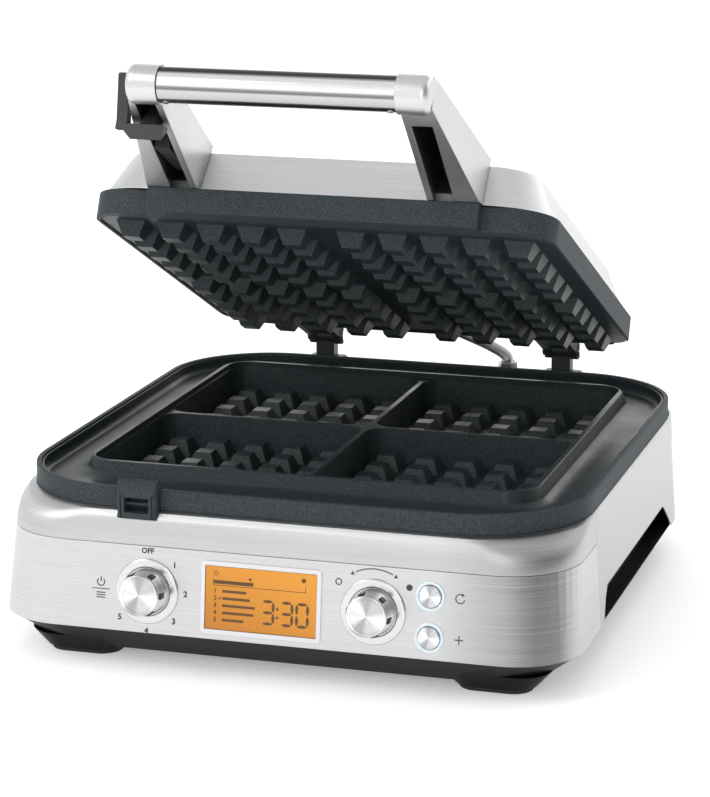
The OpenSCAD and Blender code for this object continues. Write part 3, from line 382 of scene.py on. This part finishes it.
def mouldedPlastic(name, color, rough, texture=500, depth=0.00006, coat=0.0, gloss=0.4):
    f = Finish(name)
    fine = f.grain(texture, 3.0)
    f.tint(f.spread(fine, 0, 1), times(color, 0.85), times(color, 1.2))
    f.put(coat=coat, coatRough=0.12, gloss=gloss)
    f.roughen(fine, rough - 0.04, rough + 0.05)
    f.relief(fine, 0.2, depth, 0.0006)
    return f.material


drawnGrain = {"scale": 1.0, "detail": 3.0, "stretch": (700, 9, 9)}


def polishedSteel(name, color, rough):
    f = Finish(name)
    streak = f.grain(**drawnGrain)
    f.put(metal=1.0, color=color)
    f.roughen(streak, rough, rough + 0.05)
    f.relief(streak, 0.05, 0.00002, 0.0005)
    return f.material


# painted reflection: bands of light and dark round a polished tube, from its underside to its top
tubeReflectionBands = (
    (0.03, 0.80), (0.12, 0.55), (0.40, 0.62), (0.45, 0.18), (0.51, 0.32),
    (0.56, 1.0), (0.85, 1.0), (0.92, 0.07), (1.0, 0.05),
)


def rolledTube(name, color, rough):
    f = Finish(name)
    streak = f.grain(**drawnGrain)
    normal = f.add("ShaderNodeNewGeometry").outputs["Normal"]
    reflectionBands = f.add("ShaderNodeValToRGB")
    stops = reflectionBands.color_ramp.elements
    for index, (spot, level) in enumerate(tubeReflectionBands):
        stop = stops[index] if index < 2 else stops.new(spot)
        stop.position = spot
        stop.color = (*times(color, level), 1)
    # painted reflection: the colour follows how far the face turns up
    f.link(f.spread(f.part(normal, "Z"), 0, 1, -1, 1), reflectionBands.inputs[0])
    f.link(reflectionBands.outputs[0], f.shader.inputs["Base Color"])
    f.put(metal=1.0)
    f.roughen(streak, rough, rough + 0.05)
    f.relief(streak, 0.05, 0.00002, 0.0005)
    return f.material


# rings per metre of radius, painted wedges of highlight and shade as count and start angle, and their
# depth
turning = {"pitch": 5200, "wedges": ((2, 35), (5, 70)), "second": 0.45, "sweep": 0.45}


def turnedMetal(name, place, light, rough=0.26):
    # spun face: fine rings about the control's own axis, and painted wedges of highlight and shade in
    # the colour, standing in for the light the rings gather
    f = Finish(name)
    turned = place.to_3x3()
    away = f.add("ShaderNodeVectorMath", operation="SUBTRACT")
    away.inputs[1].default_value = place.to_translation()
    f.link(f.place.outputs["Object"], away.inputs[0])
    away = away.outputs[0]
    f.strokesRound((turned @ Vector((0, 0, 1))).normalized(), away)
    across = f.along(away, (turned @ Vector((1, 0, 0))).normalized())
    up = f.along(away, (turned @ Vector((0, 1, 0))).normalized())
    angle = f.reckon("ARCTAN2", up, across)
    waves = []
    for count, start in turning["wedges"]:
        turn = f.reckon("MULTIPLY_ADD", angle, count, math.radians(start))
        waves.append(f.reckon("COSINE", turn))
    paintedWedgeLight = f.reckon("MULTIPLY_ADD", waves[1], turning["second"], waves[0])
    far = f.add("ShaderNodeVectorMath", operation="LENGTH")
    f.link(away, far.inputs[0])
    rings = f.reckon("SINE", f.reckon("MULTIPLY", far.outputs["Value"], turning["pitch"]))
    mark = f.spread(rings, 0, 1, -1, 1)
    f.put(metal=1.0, aniso=0.82)
    # painted highlight and shade: the colour goes lighter and darker with the angle round the axis
    f.tint(f.spread(paintedWedgeLight, 0, 1, -1.1, 1.0), times(light, 1 - turning["sweep"]), times(light, 1.18))
    f.roughen(mark, rough - 0.02, rough + 0.04, 0, 1)
    f.relief(mark, 0.05, 0.00001, 0.0004)
    return f.material


def frostedRing(name, color):
    f = Finish(name)
    fine = f.grain(700, 2.0)
    f.put(color=color, coat=0.6, coatRough=0.15, soft=0.25, glow=0.08, glowColor=(0.9, 0.96, 1.0))
    f.roughen(fine, 0.25, 0.35)
    f.relief(fine, 0.05, 0.00003, 0.0004)
    return f.material


def litScreen(name, deep, bright):
    # back-lit display: brighter towards its upper right
    f = Finish(name)
    line = f.add("ShaderNodeMapping")
    line.inputs["Location"].default_value = (0.3, 0.0, -0.25)
    line.inputs["Scale"].default_value = (5.5, 0.0, 9.0)
    f.link(f.place.outputs["Object"], line.inputs["Vector"])
    slope = f.along(line.outputs[0], (0.55, 0.0, 1.0))
    glow = f.tint(f.spread(slope, 0, 1, 0.05, 0.62), deep, bright)
    f.link(glow, f.shader.inputs["Emission Color"])
    f.put(glow=0.10, coat=0.3, coatRough=0.08, gloss=0.2)
    f.roughen(f.grain(2500, 2.0), 0.22, 0.3)
    return f.material


def printedInk(name, color):
    f = Finish(name)
    f.tint(f.spread(f.grain(900, 2.0), 0, 1), color, times(color, 1.3))
    f.put(rough=0.5)
    return f.material


menuPlace = panelPlace(layout["menuX"], layout["controlZ"])
browningPlace = panelPlace(layout["browningX"], layout["controlZ"])
upperPlace = panelPlace(layout["buttonX"], layout["controlZ"] + layout["buttonGap"] / 2)
lowerPlace = panelPlace(layout["buttonX"], layout["controlZ"] - layout["buttonGap"] / 2)
lidTilt = math.radians(layout["lidAngle"])
lidUp = (0.0, math.sin(lidTilt), math.cos(lidTilt))

# sheet metal: colour, roughness and the way of its brushing; corner is how deep the painted shade at
# the front right bend goes
brushedFront = brushedSheet("brushedFront", (0.62, 0.62, 0.625), 0.30, (9, 9, 2300),
                            contrast=0.055, corner=0.72)
brushedShoulder = brushedSheet("brushedShoulder", (0.58, 0.58, 0.585), 0.43, (9, 9, 2300),
                               contrast=0.04, corner=0.45)
satinSide = brushedSheet("satinSide", (0.53, 0.54, 0.545), 0.33, (5, 5, 700),
                         contrast=0.03, aniso=0.35, corner=0.45)
brushedLid = brushedSheet("brushedLid", (0.70, 0.70, 0.705), 0.40, (9, 9, 1300),
                          turn=(-layout["lidAngle"], 0, 0), axis=lidUp, contrast=0.10)
shieldSheet = brushedSheet("shieldSheet", (0.7, 0.7, 0.71), 0.36, (10, 10, 300), contrast=0.03)

# castings, coatings and plain metal
# the legs carry painted shade down inside their channels
satinLegs = satinCasting("satinLegs", (0.66, 0.66, 0.665), 0.34, contrast=0.04, recessShadeReach=0.03)
castCoat = speckledCoat("castCoat", (0.032, 0.040, 0.044), (0.098, 0.112, 0.119), 0.5)
plateCoat = nonStick("plateCoat", (0.0225, 0.0285, 0.031), 0.36)
hingeCoat = satinCasting("hingeCoat", (0.040, 0.043, 0.048), 0.42, metal=0.4)
boltSteel = satinCasting("boltSteel", (0.50, 0.50, 0.51), 0.30, metal=1.0, grainSize=2200,
                         contrast=0.06, edge=0.0005)
hoseSteel = satinCasting("hoseSteel", (0.55, 0.55, 0.55), 0.34, metal=1.0, grainSize=3000,
                         contrast=0.15, edge=0.0002)
sheathOxide = satinCasting("sheathOxide", (0.10, 0.09, 0.08), 0.55, metal=0.6, grainSize=800)
barSteel = rolledTube("barSteel", (0.88, 0.88, 0.885), 0.16)
trimSteel = polishedSteel("trimSteel", (0.66, 0.66, 0.67), 0.20)
pinSteel = polishedSteel("pinSteel", (0.82, 0.82, 0.83), 0.12)

# plastic, rubber, ceramic and lacquer
trayPlastic = mouldedPlastic("trayPlastic", (0.006, 0.006, 0.007), 0.42, 700, 0.00004, gloss=0.10)
darkPlastic = mouldedPlastic("darkPlastic", (0.016, 0.016, 0.018), 0.45)
latchPlastic = mouldedPlastic("latchPlastic", (0.032, 0.034, 0.037), 0.48, 900, 0.00008)
padRubber = mouldedPlastic("padRubber", (0.02, 0.02, 0.02), 0.72, 400, 0.0001)
ceramicBody = mouldedPlastic("ceramicBody", (0.66, 0.63, 0.56), 0.6, 900)
boardLacquer = mouldedPlastic("boardLacquer", (0.02, 0.12, 0.05), 0.35, 300)
ringPlastic = frostedRing("ringPlastic", (0.78, 0.82, 0.85))

# display, print and spun faces
screenAmber = litScreen("screenAmber", (0.46, 0.17, 0.018), (0.68, 0.285, 0.032))
markInk = printedInk("markInk", (0.035, 0.036, 0.04))
screenInk = printedInk("screenInk", (0.10, 0.045, 0.008))
menuTurned = turnedMetal("menuTurned", menuPlace, (0.72, 0.72, 0.73))
browningTurned = turnedMetal("browningTurned", browningPlace, (0.72, 0.72, 0.73))
upperTurned = turnedMetal("upperTurned", upperPlace, (0.74, 0.74, 0.75))
lowerTurned = turnedMetal("lowerTurned", lowerPlace, (0.74, 0.74, 0.75))

nodeFinish = {
    "base_tray": trayPlastic, "foot_pads": padRubber, "front_panel": brushedFront,
    "front_shoulder": brushedShoulder, "side_housing": satinSide, "lower_frame": castCoat,
    "lower_plate": plateCoat, "lower_element": sheathOxide, "lower_heat_shield": shieldSheet,
    "lower_thermostat": ceramicBody, "latch_keeper": castCoat, "hinge_housing": darkPlastic,
    "hinge_guides": hingeCoat, "hinge_yoke": shieldSheet, "hinge_post_left": hingeCoat,
    "hinge_post_right": hingeCoat, "cord_gland": padRubber, "control_board": boardLacquer,
    "board_posts": darkPlastic, "lcd_module": screenAmber, "lcd_window": screenAmber,
    "lcd_bezel": trimSteel, "menu_bezel": trimSteel, "shade_bezel": trimSteel,
    "menu_encoder": shieldSheet, "shade_encoder": shieldSheet, "menu_knob": menuTurned,
    "shade_knob": browningTurned, "button_rings": ringPlastic, "restart_button": upperTurned,
    "more_button": lowerTurned, "button_switches": darkPlastic, "tray_screws": boltSteel,
    "lid_frame": castCoat, "lid_shell": brushedLid, "upper_plate": plateCoat,
    "upper_element": sheathOxide, "upper_heat_shield": shieldSheet,
    "upper_thermostat": ceramicBody, "hinge_pins": pinSteel, "handle_leg_left": satinLegs,
    "handle_leg_right": satinLegs, "handle_bar": barSteel, "handle_rivets": boltSteel,
    "latch_lever": latchPlastic, "latch_pin": boltSteel, "latch_spring": boltSteel,
    "wire_conduit": hoseSteel, "conduit_nut_base": boltSteel, "conduit_nut_lid": boltSteel,
}
shading = {"weld": 0.00001, "edgeAngle": 24, "weight": 100}


def dressNodes():
    for name, piece in nodes.items():
        piece.data.materials.clear()
        piece.data.materials.append(nodeFinish[name])
        for face in piece.data.polygons:
            face.material_index = 0
            face.use_smooth = True
        # shared corners, split again at real edges, so bends shade smoothly
        weld = piece.modifiers.new("weld", "WELD")
        weld.merge_threshold = shading["weld"]
        split = piece.modifiers.new("edges", "EDGE_SPLIT")
        split.split_angle = math.radians(shading["edgeAngle"])
        even = piece.modifiers.new("evenShade", "WEIGHTED_NORMAL")
        even.weight = shading["weight"]


dressNodes()
print("finishes are on", len(nodes), "parts")


def clearPick():
    for thing in bpy.context.selected_objects:
        thing.select_set(False)


def pick(*things):
    clearPick()
    for thing in things:
        thing.select_set(True)
    bpy.context.view_layer.objects.active = things[0]


def thicken(piece, thick):
    pick(piece)
    wall = piece.modifiers.new("thickness", "SOLIDIFY")
    wall.thickness = thick * mm
    wall.offset = 1
    bpy.ops.object.modifier_apply(modifier=wall.name)


def flatTurn(degrees):
    return Matrix.Rotation(math.radians(degrees), 4, "Z")


def flatMove(x, y):
    return Matrix.Translation((x * mm, y * mm, 0))


def stroke(x0, y0, x1, y1, width):
    # straight bar: a plate drawn out to its length, a little over at the ends
    long = math.hypot(x1 - x0, y1 - y0)
    clearPick()
    bpy.ops.mesh.primitive_plane_add(size=1, location=(0, 0, 0))
    part = bpy.context.object
    bpy.ops.object.mode_set(mode="EDIT")
    bpy.ops.mesh.select_all(action="SELECT")
    bpy.ops.transform.resize(value=((long + width * 0.6) * mm, width * mm, 1))
    bpy.ops.object.mode_set(mode="OBJECT")
    turn = math.degrees(math.atan2(y1 - y0, x1 - x0))
    part.data.transform(flatMove((x0 + x1) / 2, (y0 + y1) / 2) @ flatTurn(turn))
    return part


def arcStrip(x, y, radius, width, start, end):
    # ring cut down to the corners between two angles, then given its width
    clearPick()
    bpy.ops.mesh.primitive_circle_add(vertices=96, radius=(radius - width / 2) * mm,
                                      location=(0, 0, 0))
    part = bpy.context.object
    bpy.ops.object.mode_set(mode="EDIT")
    bpy.ops.mesh.select_all(action="DESELECT")
    bpy.ops.object.mode_set(mode="OBJECT")
    for corner in part.data.vertices:
        angle = math.degrees(math.atan2(corner.co.y, corner.co.x)) % 360
        corner.select = not any(start <= angle + turn <= end for turn in (-360, 0, 360))
    bpy.ops.object.mode_set(mode="EDIT")
    bpy.ops.mesh.delete(type="VERT")
    bpy.ops.mesh.select_all(action="SELECT")
    bpy.ops.mesh.extrude_region_move()
    grow = (radius + width / 2) / (radius - width / 2)
    bpy.ops.transform.resize(value=(grow, grow, 1), center_override=(0, 0, 0))
    bpy.ops.mesh.select_all(action="SELECT")
    bpy.ops.mesh.normals_make_consistent(inside=False)
    bpy.ops.object.mode_set(mode="OBJECT")
    part.data.transform(flatMove(x, y))
    return part


def flatShape(x, y, corners, size, turn=0.0, squeeze=1.0):
    # filled polygon: a dot, an arrowhead or one bar of a digit
    clearPick()
    bpy.ops.mesh.primitive_circle_add(vertices=corners, radius=size * mm, fill_type="NGON",
                                      location=(0, 0, 0))
    part = bpy.context.object
    part.data.transform(flatMove(x, y) @ flatTurn(turn) @ Matrix.Diagonal((1, squeeze, 1, 1)))
    return part


# strength of the lettering as a share of its size
bold = 0.03


def lettering(words, x, y, size):
    clearPick()
    bpy.ops.object.text_add(location=(0, 0, 0))
    part = bpy.context.object
    part.data.body = words
    part.data.size = size * mm
    part.data.align_x = "CENTER"
    part.data.align_y = "CENTER"
    part.data.resolution_u = 3
    part.data.offset = bold * size * mm
    bpy.ops.object.convert(target="MESH")
    part = bpy.context.object
    part.data.transform(flatMove(x, y))
    return part


# bars that are lit, clockwise from the top one, with g across the middle
digitBars = {"0": "abcdef", "1": "bc", "2": "abged", "3": "abgcd", "4": "fgbc", "5": "afgcd",
             "6": "afgedc", "7": "abc", "8": "abcdefg", "9": "abfgcd"}
barReach = 0.47        # half a bar's length as a share of its side
sixCornerTall = 1.73   # height of a six-cornered shape over its radius


def digit(character, x, y, tall, width):
    half = tall / 2
    side = half / 2
    # place of each bar's middle and its turn
    spots = {"a": (0, half, 0), "g": (0, 0, 0), "d": (0, -half, 0), "b": (side, side, 90),
             "c": (side, -side, 90), "f": (-side, side, 90), "e": (-side, -side, 90)}
    long = half * barReach
    parts = []
    for bar in digitBars[character]:
        barX, barY, turn = spots[bar]
        parts.append(flatShape(x + barX, y + barY, 6, long, turn, width / long / sixCornerTall))
    return parts


def joinMarks(name, parts, thick, place, ink, body):
    pick(*parts)
    bpy.ops.object.join()
    piece = bpy.context.object
    piece.name = name
    piece.data.name = name
    thicken(piece, thick)
    piece.data.transform(place)
    piece.data.materials.clear()
    piece.data.materials.append(ink)
    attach(piece, body)


# heights here are over the middle of the controls
marks = {
    "thick": 0.12, "proud": 0.03, "line": 0.7,
    "numberRadius": 26.2, "numberSize": 5.4, "numberAngles": (45, 0, -45, -90, -135),
    "offLift": 0.2, "offSize": 0.9,
    "powerX": -115.8, "powerY": 3.6, "powerRadius": 2.5, "powerBar": (0.6, 3.2),
    "ruleHalf": 5.8, "ruleY": -0.9, "ruleLine": 0.8,
    "listHalf": 2.8, "listY": (-3.4, -5.0, -6.6),
    "arcRadius": 27.6, "arcHalf": 28, "arrowAngle": 31, "arrowTurn": 123, "arrowSize": 1.6,
    "dotX": 23.2, "dotY": 17.6, "openDot": 1.9, "fullDot": 2.1,
    "signX": 124.3, "roundRadius": 2.9, "roundTip": (1.7, 2.5, 1.3, 150), "plusArm": 2.7,
}


def drawPanelMarks():
    radius, size, line = marks["numberRadius"], marks["numberSize"], marks["line"]
    dialX, shadeX = layout["menuX"], layout["browningX"]
    parts = [lettering("OFF", dialX, radius + marks["offLift"], size * marks["offSize"])]
    for number, angle in enumerate(marks["numberAngles"], 1):
        a = math.radians(angle)
        spot = (dialX + radius * math.cos(a), radius * math.sin(a))
        parts.append(lettering(str(number), *spot, size))
    # power sign over a line, and three bars for the list below it
    x, y, rule = marks["powerX"], marks["powerY"], marks["ruleY"]
    low, high = marks["powerBar"]
    parts.append(arcStrip(x, y, marks["powerRadius"], line, -230, 50))
    parts.append(stroke(x, y + low, x, y + high, line))
    parts.append(stroke(x - marks["ruleHalf"], rule, x + marks["ruleHalf"], rule,
                        line * marks["ruleLine"]))
    for lift in marks["listY"]:
        parts.append(stroke(x - marks["listHalf"], lift, x + marks["listHalf"], lift, line))
    # arc from light to dark over the right dial, with an arrowhead at each end
    arc, reach = marks["arcRadius"], marks["arcHalf"]
    parts.append(arcStrip(shadeX, 0, arc, line, 90 - reach, 90 + reach))
    for side in (-1, 1):
        a = math.radians(90 - side * marks["arrowAngle"])
        parts.append(flatShape(shadeX + arc * math.cos(a), arc * math.sin(a), 3,
                               marks["arrowSize"], -side * marks["arrowTurn"]))
    dotX, dotY = marks["dotX"], marks["dotY"]
    parts.append(arcStrip(shadeX - dotX, dotY, marks["openDot"], line, 0, 360))
    parts.append(flatShape(shadeX + dotX, dotY, 24, marks["fullDot"]))
    # round arrow beside the upper button, plus sign beside the lower one
    x, half, arm = marks["signX"], layout["buttonGap"] / 2, marks["plusArm"]
    tipX, tipY, tipSize, tipTurn = marks["roundTip"]
    parts.append(arcStrip(x, half, marks["roundRadius"], line, 60, 350))
    parts.append(flatShape(x + tipX, half + tipY, 3, tipSize, tipTurn))
    parts.append(stroke(x - arm, -half, x + arm, -half, line))
    parts.append(stroke(x, -half - arm, x, -half + arm, line))
    place = panelPlace(0, layout["controlZ"], marks["proud"])
    joinMarks("panelMarks", parts, marks["thick"], place, markInk, "base")


# places here are over the middle of the display
screen = {
    "thick": 0.06, "proud": 0.42,
    "frameX": (-32, 30), "frameY": (8.3, 12.2), "frameLine": 0.35,
    "blocks": 9, "blockX": -31, "blockY": 10.4, "blockGap": 2.9, "blockLong": 2.1, "blockTall": 2.3,
    "pointer": (-7.2, 13.6), "openDot": (-30.2, 16.0), "fullDot": (28.6, 16.0),
    "rowLengths": (15.0, 17.5, 21.0, 20.0, 13.5), "rowY": 4.6, "rowGap": 4.7, "rowTall": 1.7,
    "rowNumberX": -30.6, "rowNumberSize": 3.9, "rowX": -25.2, "rowArrowX": -27.6, "pickedRow": 1,
    "digits": "330", "digitTall": 14.5, "digitLine": 1.9, "digitX": 5.0, "digitY": -6.8,
    "digitGap": 10.4, "colonRoom": 2.2, "colonX": 11.4, "colonHalf": 2.8, "colonSize": 1.15,
}


def drawScreen():
    middle = layout["lcdX"]
    left, right = (middle + x for x in screen["frameX"])
    low, high = screen["frameY"]
    thin = screen["frameLine"]
    parts = []
    # browning scale with its pointer, between an open and a filled dot
    for step in range(screen["blocks"]):
        x, y = middle + screen["blockX"] + step * screen["blockGap"], screen["blockY"]
        parts.append(stroke(x, y, x + screen["blockLong"], y, screen["blockTall"]))
    parts.append(stroke(left, low, right, low, thin))
    parts.append(stroke(left, low, left, high, thin))
    parts.append(stroke(right, low, right, high, thin))
    x, y = screen["pointer"]
    parts.append(flatShape(middle + x, y, 3, 1.5, 180))
    x, y = screen["openDot"]
    parts.append(arcStrip(middle + x, y, 1.3, 0.4, 0, 360))
    x, y = screen["fullDot"]
    parts.append(flatShape(middle + x, y, 20, 1.5))
    # list of five settings, the second one picked
    start = middle + screen["rowX"]
    for row, long in enumerate(screen["rowLengths"]):
        y = screen["rowY"] - row * screen["rowGap"]
        parts.append(lettering(str(row + 1), middle + screen["rowNumberX"], y,
                               screen["rowNumberSize"]))
        parts.append(stroke(start, y, start + long, y, screen["rowTall"]))
    y = screen["rowY"] - screen["pickedRow"] * screen["rowGap"]
    parts.append(flatShape(middle + screen["rowArrowX"], y, 3, 1.1, -90))
    # clock
    for index, character in enumerate(screen["digits"]):
        x = middle + screen["digitX"] + index * screen["digitGap"]
        x += screen["colonRoom"] if index else 0
        parts += digit(character, x, screen["digitY"], screen["digitTall"], screen["digitLine"])
    for side in (-1, 1):
        y = screen["digitY"] + side * screen["colonHalf"]
        parts.append(flatShape(middle + screen["colonX"], y, 4, screen["colonSize"]))
    place = panelPlace(0, layout["controlZ"], screen["proud"])
    joinMarks("screenMarks", parts, screen["thick"], place, screenInk, "base")


drawPanelMarks()
drawScreen()
print("panel and screen are drawn")


spunFaces = {
    "dial": (10.6, 16.25), "button": (5.7, 2.1),    # radius, and how far out it sits
    "edge": 0.25, "rings": 5, "ringWidth": 0.15, "step": 0.03, "backStep": 0.4,
}


def spunFace(name, place, size, metal, body):
    # disc turned in shallow steps, with a small dimple in the middle
    radius, out = spunFaces[size]
    clearPick()
    bpy.ops.mesh.primitive_circle_add(vertices=72, radius=radius * mm, fill_type="NGON",
                                      location=(0, 0, 0))
    piece = bpy.context.object
    piece.name = name
    bpy.ops.object.mode_set(mode="EDIT")
    bpy.ops.mesh.select_all(action="SELECT")
    edge = spunFaces["edge"] * mm
    bpy.ops.mesh.extrude_region_move(TRANSFORM_OT_translate={"value": (0, 0, edge)})
    for ring in range(spunFaces["rings"]):
        step = spunFaces["step"] * mm * (1 if ring % 2 == 0 else spunFaces["backStep"])
        bpy.ops.mesh.inset(thickness=radius * spunFaces["ringWidth"] * mm, depth=-step)
    bpy.ops.mesh.select_all(action="SELECT")
    bpy.ops.mesh.normals_make_consistent(inside=False)
    bpy.ops.object.mode_set(mode="OBJECT")
    pick(piece)
    bpy.ops.object.shade_smooth_by_angle(angle=math.radians(30))
    piece.data.transform(place @ Matrix.Translation((0, 0, out * mm)))
    piece.data.materials.append(metal)
    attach(piece, body)


grips = {"count": 6, "start": 30, "radius": 13.9, "wide": 3.9, "tall": 6.6, "thick": 0.9,
         "lift": 10.2, "round": 0.3}


def gripPads(name, place, turn, body):
    # soft pads let into the scoops round a dial
    parts = []
    for index in range(grips["count"]):
        clearPick()
        bpy.ops.mesh.primitive_cube_add(size=1, location=(0, 0, 0))
        pad = bpy.context.object
        bpy.ops.object.mode_set(mode="EDIT")
        bpy.ops.mesh.select_all(action="SELECT")
        size = (grips["thick"] * mm, grips["wide"] * mm, grips["tall"] * mm)
        bpy.ops.transform.resize(value=size)
        bpy.ops.mesh.bevel(offset=grips["round"] * mm, segments=2, affect="EDGES")
        bpy.ops.object.mode_set(mode="OBJECT")
        spin = flatTurn(turn + 360 / grips["count"] * index + grips["start"])
        pad.data.transform(spin @ Matrix.Translation((grips["radius"] * mm, 0, grips["lift"] * mm)))
        parts.append(pad)
    pick(*parts)
    bpy.ops.object.join()
    piece = bpy.context.object
    piece.name = name
    piece.data.transform(place)
    piece.data.materials.append(darkPlastic)
    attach(piece, body)


spunFace("menuDialFace", menuPlace, "dial", menuTurned, "menu_dial")
spunFace("browningDialFace", browningPlace, "dial", browningTurned, "browning_dial")
spunFace("restartFace", upperPlace, "button", upperTurned, "restart_push")
spunFace("moreFace", lowerPlace, "button", lowerTurned, "more_push")
gripPads("menuGrips", menuPlace, -90, "menu_dial")
gripPads("browningGrips", browningPlace, 20, "browning_dial")
print("controls are dressed")


# ribbed hose between base and lid; heights are over the rim
hinge = {"y": 212.0, "lift": 14.3, "travel": 9.2}
hose = {
    "radius": 4.5, "pitch": 1.15, "waist": 0.88, "split": 0.4,
    "route": ((50, 216, -1.5), (50, 216, 3.0), (47, 213, 8), (39, 209, 13.5), (30, 205.5, 18.5),
              (21, 199.5, 24), (14, 192, 29)),
    "lidX": 8, "lidY": (175.0, 169.5), "lidLift": 0.6 + 8.3,    # seam and nut with the lid shut
}


def lidOpen(x, y, z):
    # from the shut lid with its hinge down to the raised lid with its hinge up
    pivot = layout["rimTop"] + hinge["lift"]
    dy, dz = y - hinge["y"], z - (pivot - hinge["travel"])
    sine, cosine = math.sin(lidTilt), math.cos(lidTilt)
    return (x, hinge["y"] + dy * cosine + dz * sine, pivot - dy * sine + dz * cosine)


def hoseRoute():
    top = layout["rimTop"]
    points = [(x, y, top + z) for x, y, z in hose["route"]]
    points += [lidOpen(hose["lidX"], y, top + hose["lidLift"]) for y in hose["lidY"]]
    return [Vector((x, y + layout["centreY"], z)) * mm for x, y, z in points]


def smoothRun(points, steps=24):
    # smooth line through all the points
    run = []
    last = len(points) - 1
    for i in range(last):
        a, b, c, d = points[max(i - 1, 0)], points[i], points[i + 1], points[min(i + 2, last)]
        for s in range(steps):
            t = s / steps
            curve = (2 * a - 5 * b + 4 * c - d) * t * t + (3 * b - a - 3 * c + d) * t ** 3
            run.append(0.5 * (2 * b + (c - a) * t + curve))
    run.append(points[-1])
    return run


def evenRun(run, gap):
    # the same line in equal steps
    even, carry = [run[0]], 0.0
    for a, b in zip(run, run[1:]):
        long = (b - a).length
        while carry + long >= gap:
            a = a + (b - a) * ((gap - carry) / long)
            even.append(a.copy())
            long = (b - a).length
            carry = 0.0
        carry += long
    return even


def hoseLength(name, run, first):
    # ribs come from a radius that changes at every point
    curve = bpy.data.curves.new(name + "Path", "CURVE")
    curve.dimensions = "3D"
    curve.bevel_depth = hose["radius"] * mm
    curve.bevel_resolution = 4
    curve.use_fill_caps = True
    path = curve.splines.new("POLY")
    path.points.add(len(run) - 1)
    for index, spot in enumerate(run):
        path.points[index].co = (*spot, 1)
        path.points[index].radius = 1.0 if (index + first) % 2 == 0 else hose["waist"]
    piece = bpy.data.objects.new(name, curve)
    bpy.context.collection.objects.link(piece)
    pick(piece)
    bpy.ops.object.convert(target="MESH")
    piece = bpy.context.object
    piece.name = name
    bpy.ops.object.shade_smooth_by_angle(angle=math.radians(50))
    piece.data.materials.clear()
    piece.data.materials.append(hoseSteel)
    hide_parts("wire_conduit")
    return piece


def addHose():
    # laid in two lengths, a lower and an upper half, cut at a share of the run
    run = evenRun(smoothRun(hoseRoute()), hose["pitch"] / 2 * mm)
    middle = int(len(run) * hose["split"])
    lower = hoseLength("hoseLower", run[:middle + 1], 0)
    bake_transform(lower)
    upper = hoseLength("hoseUpper", run[middle:], middle)
    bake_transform(upper)


addHose()
print("hose is laid")
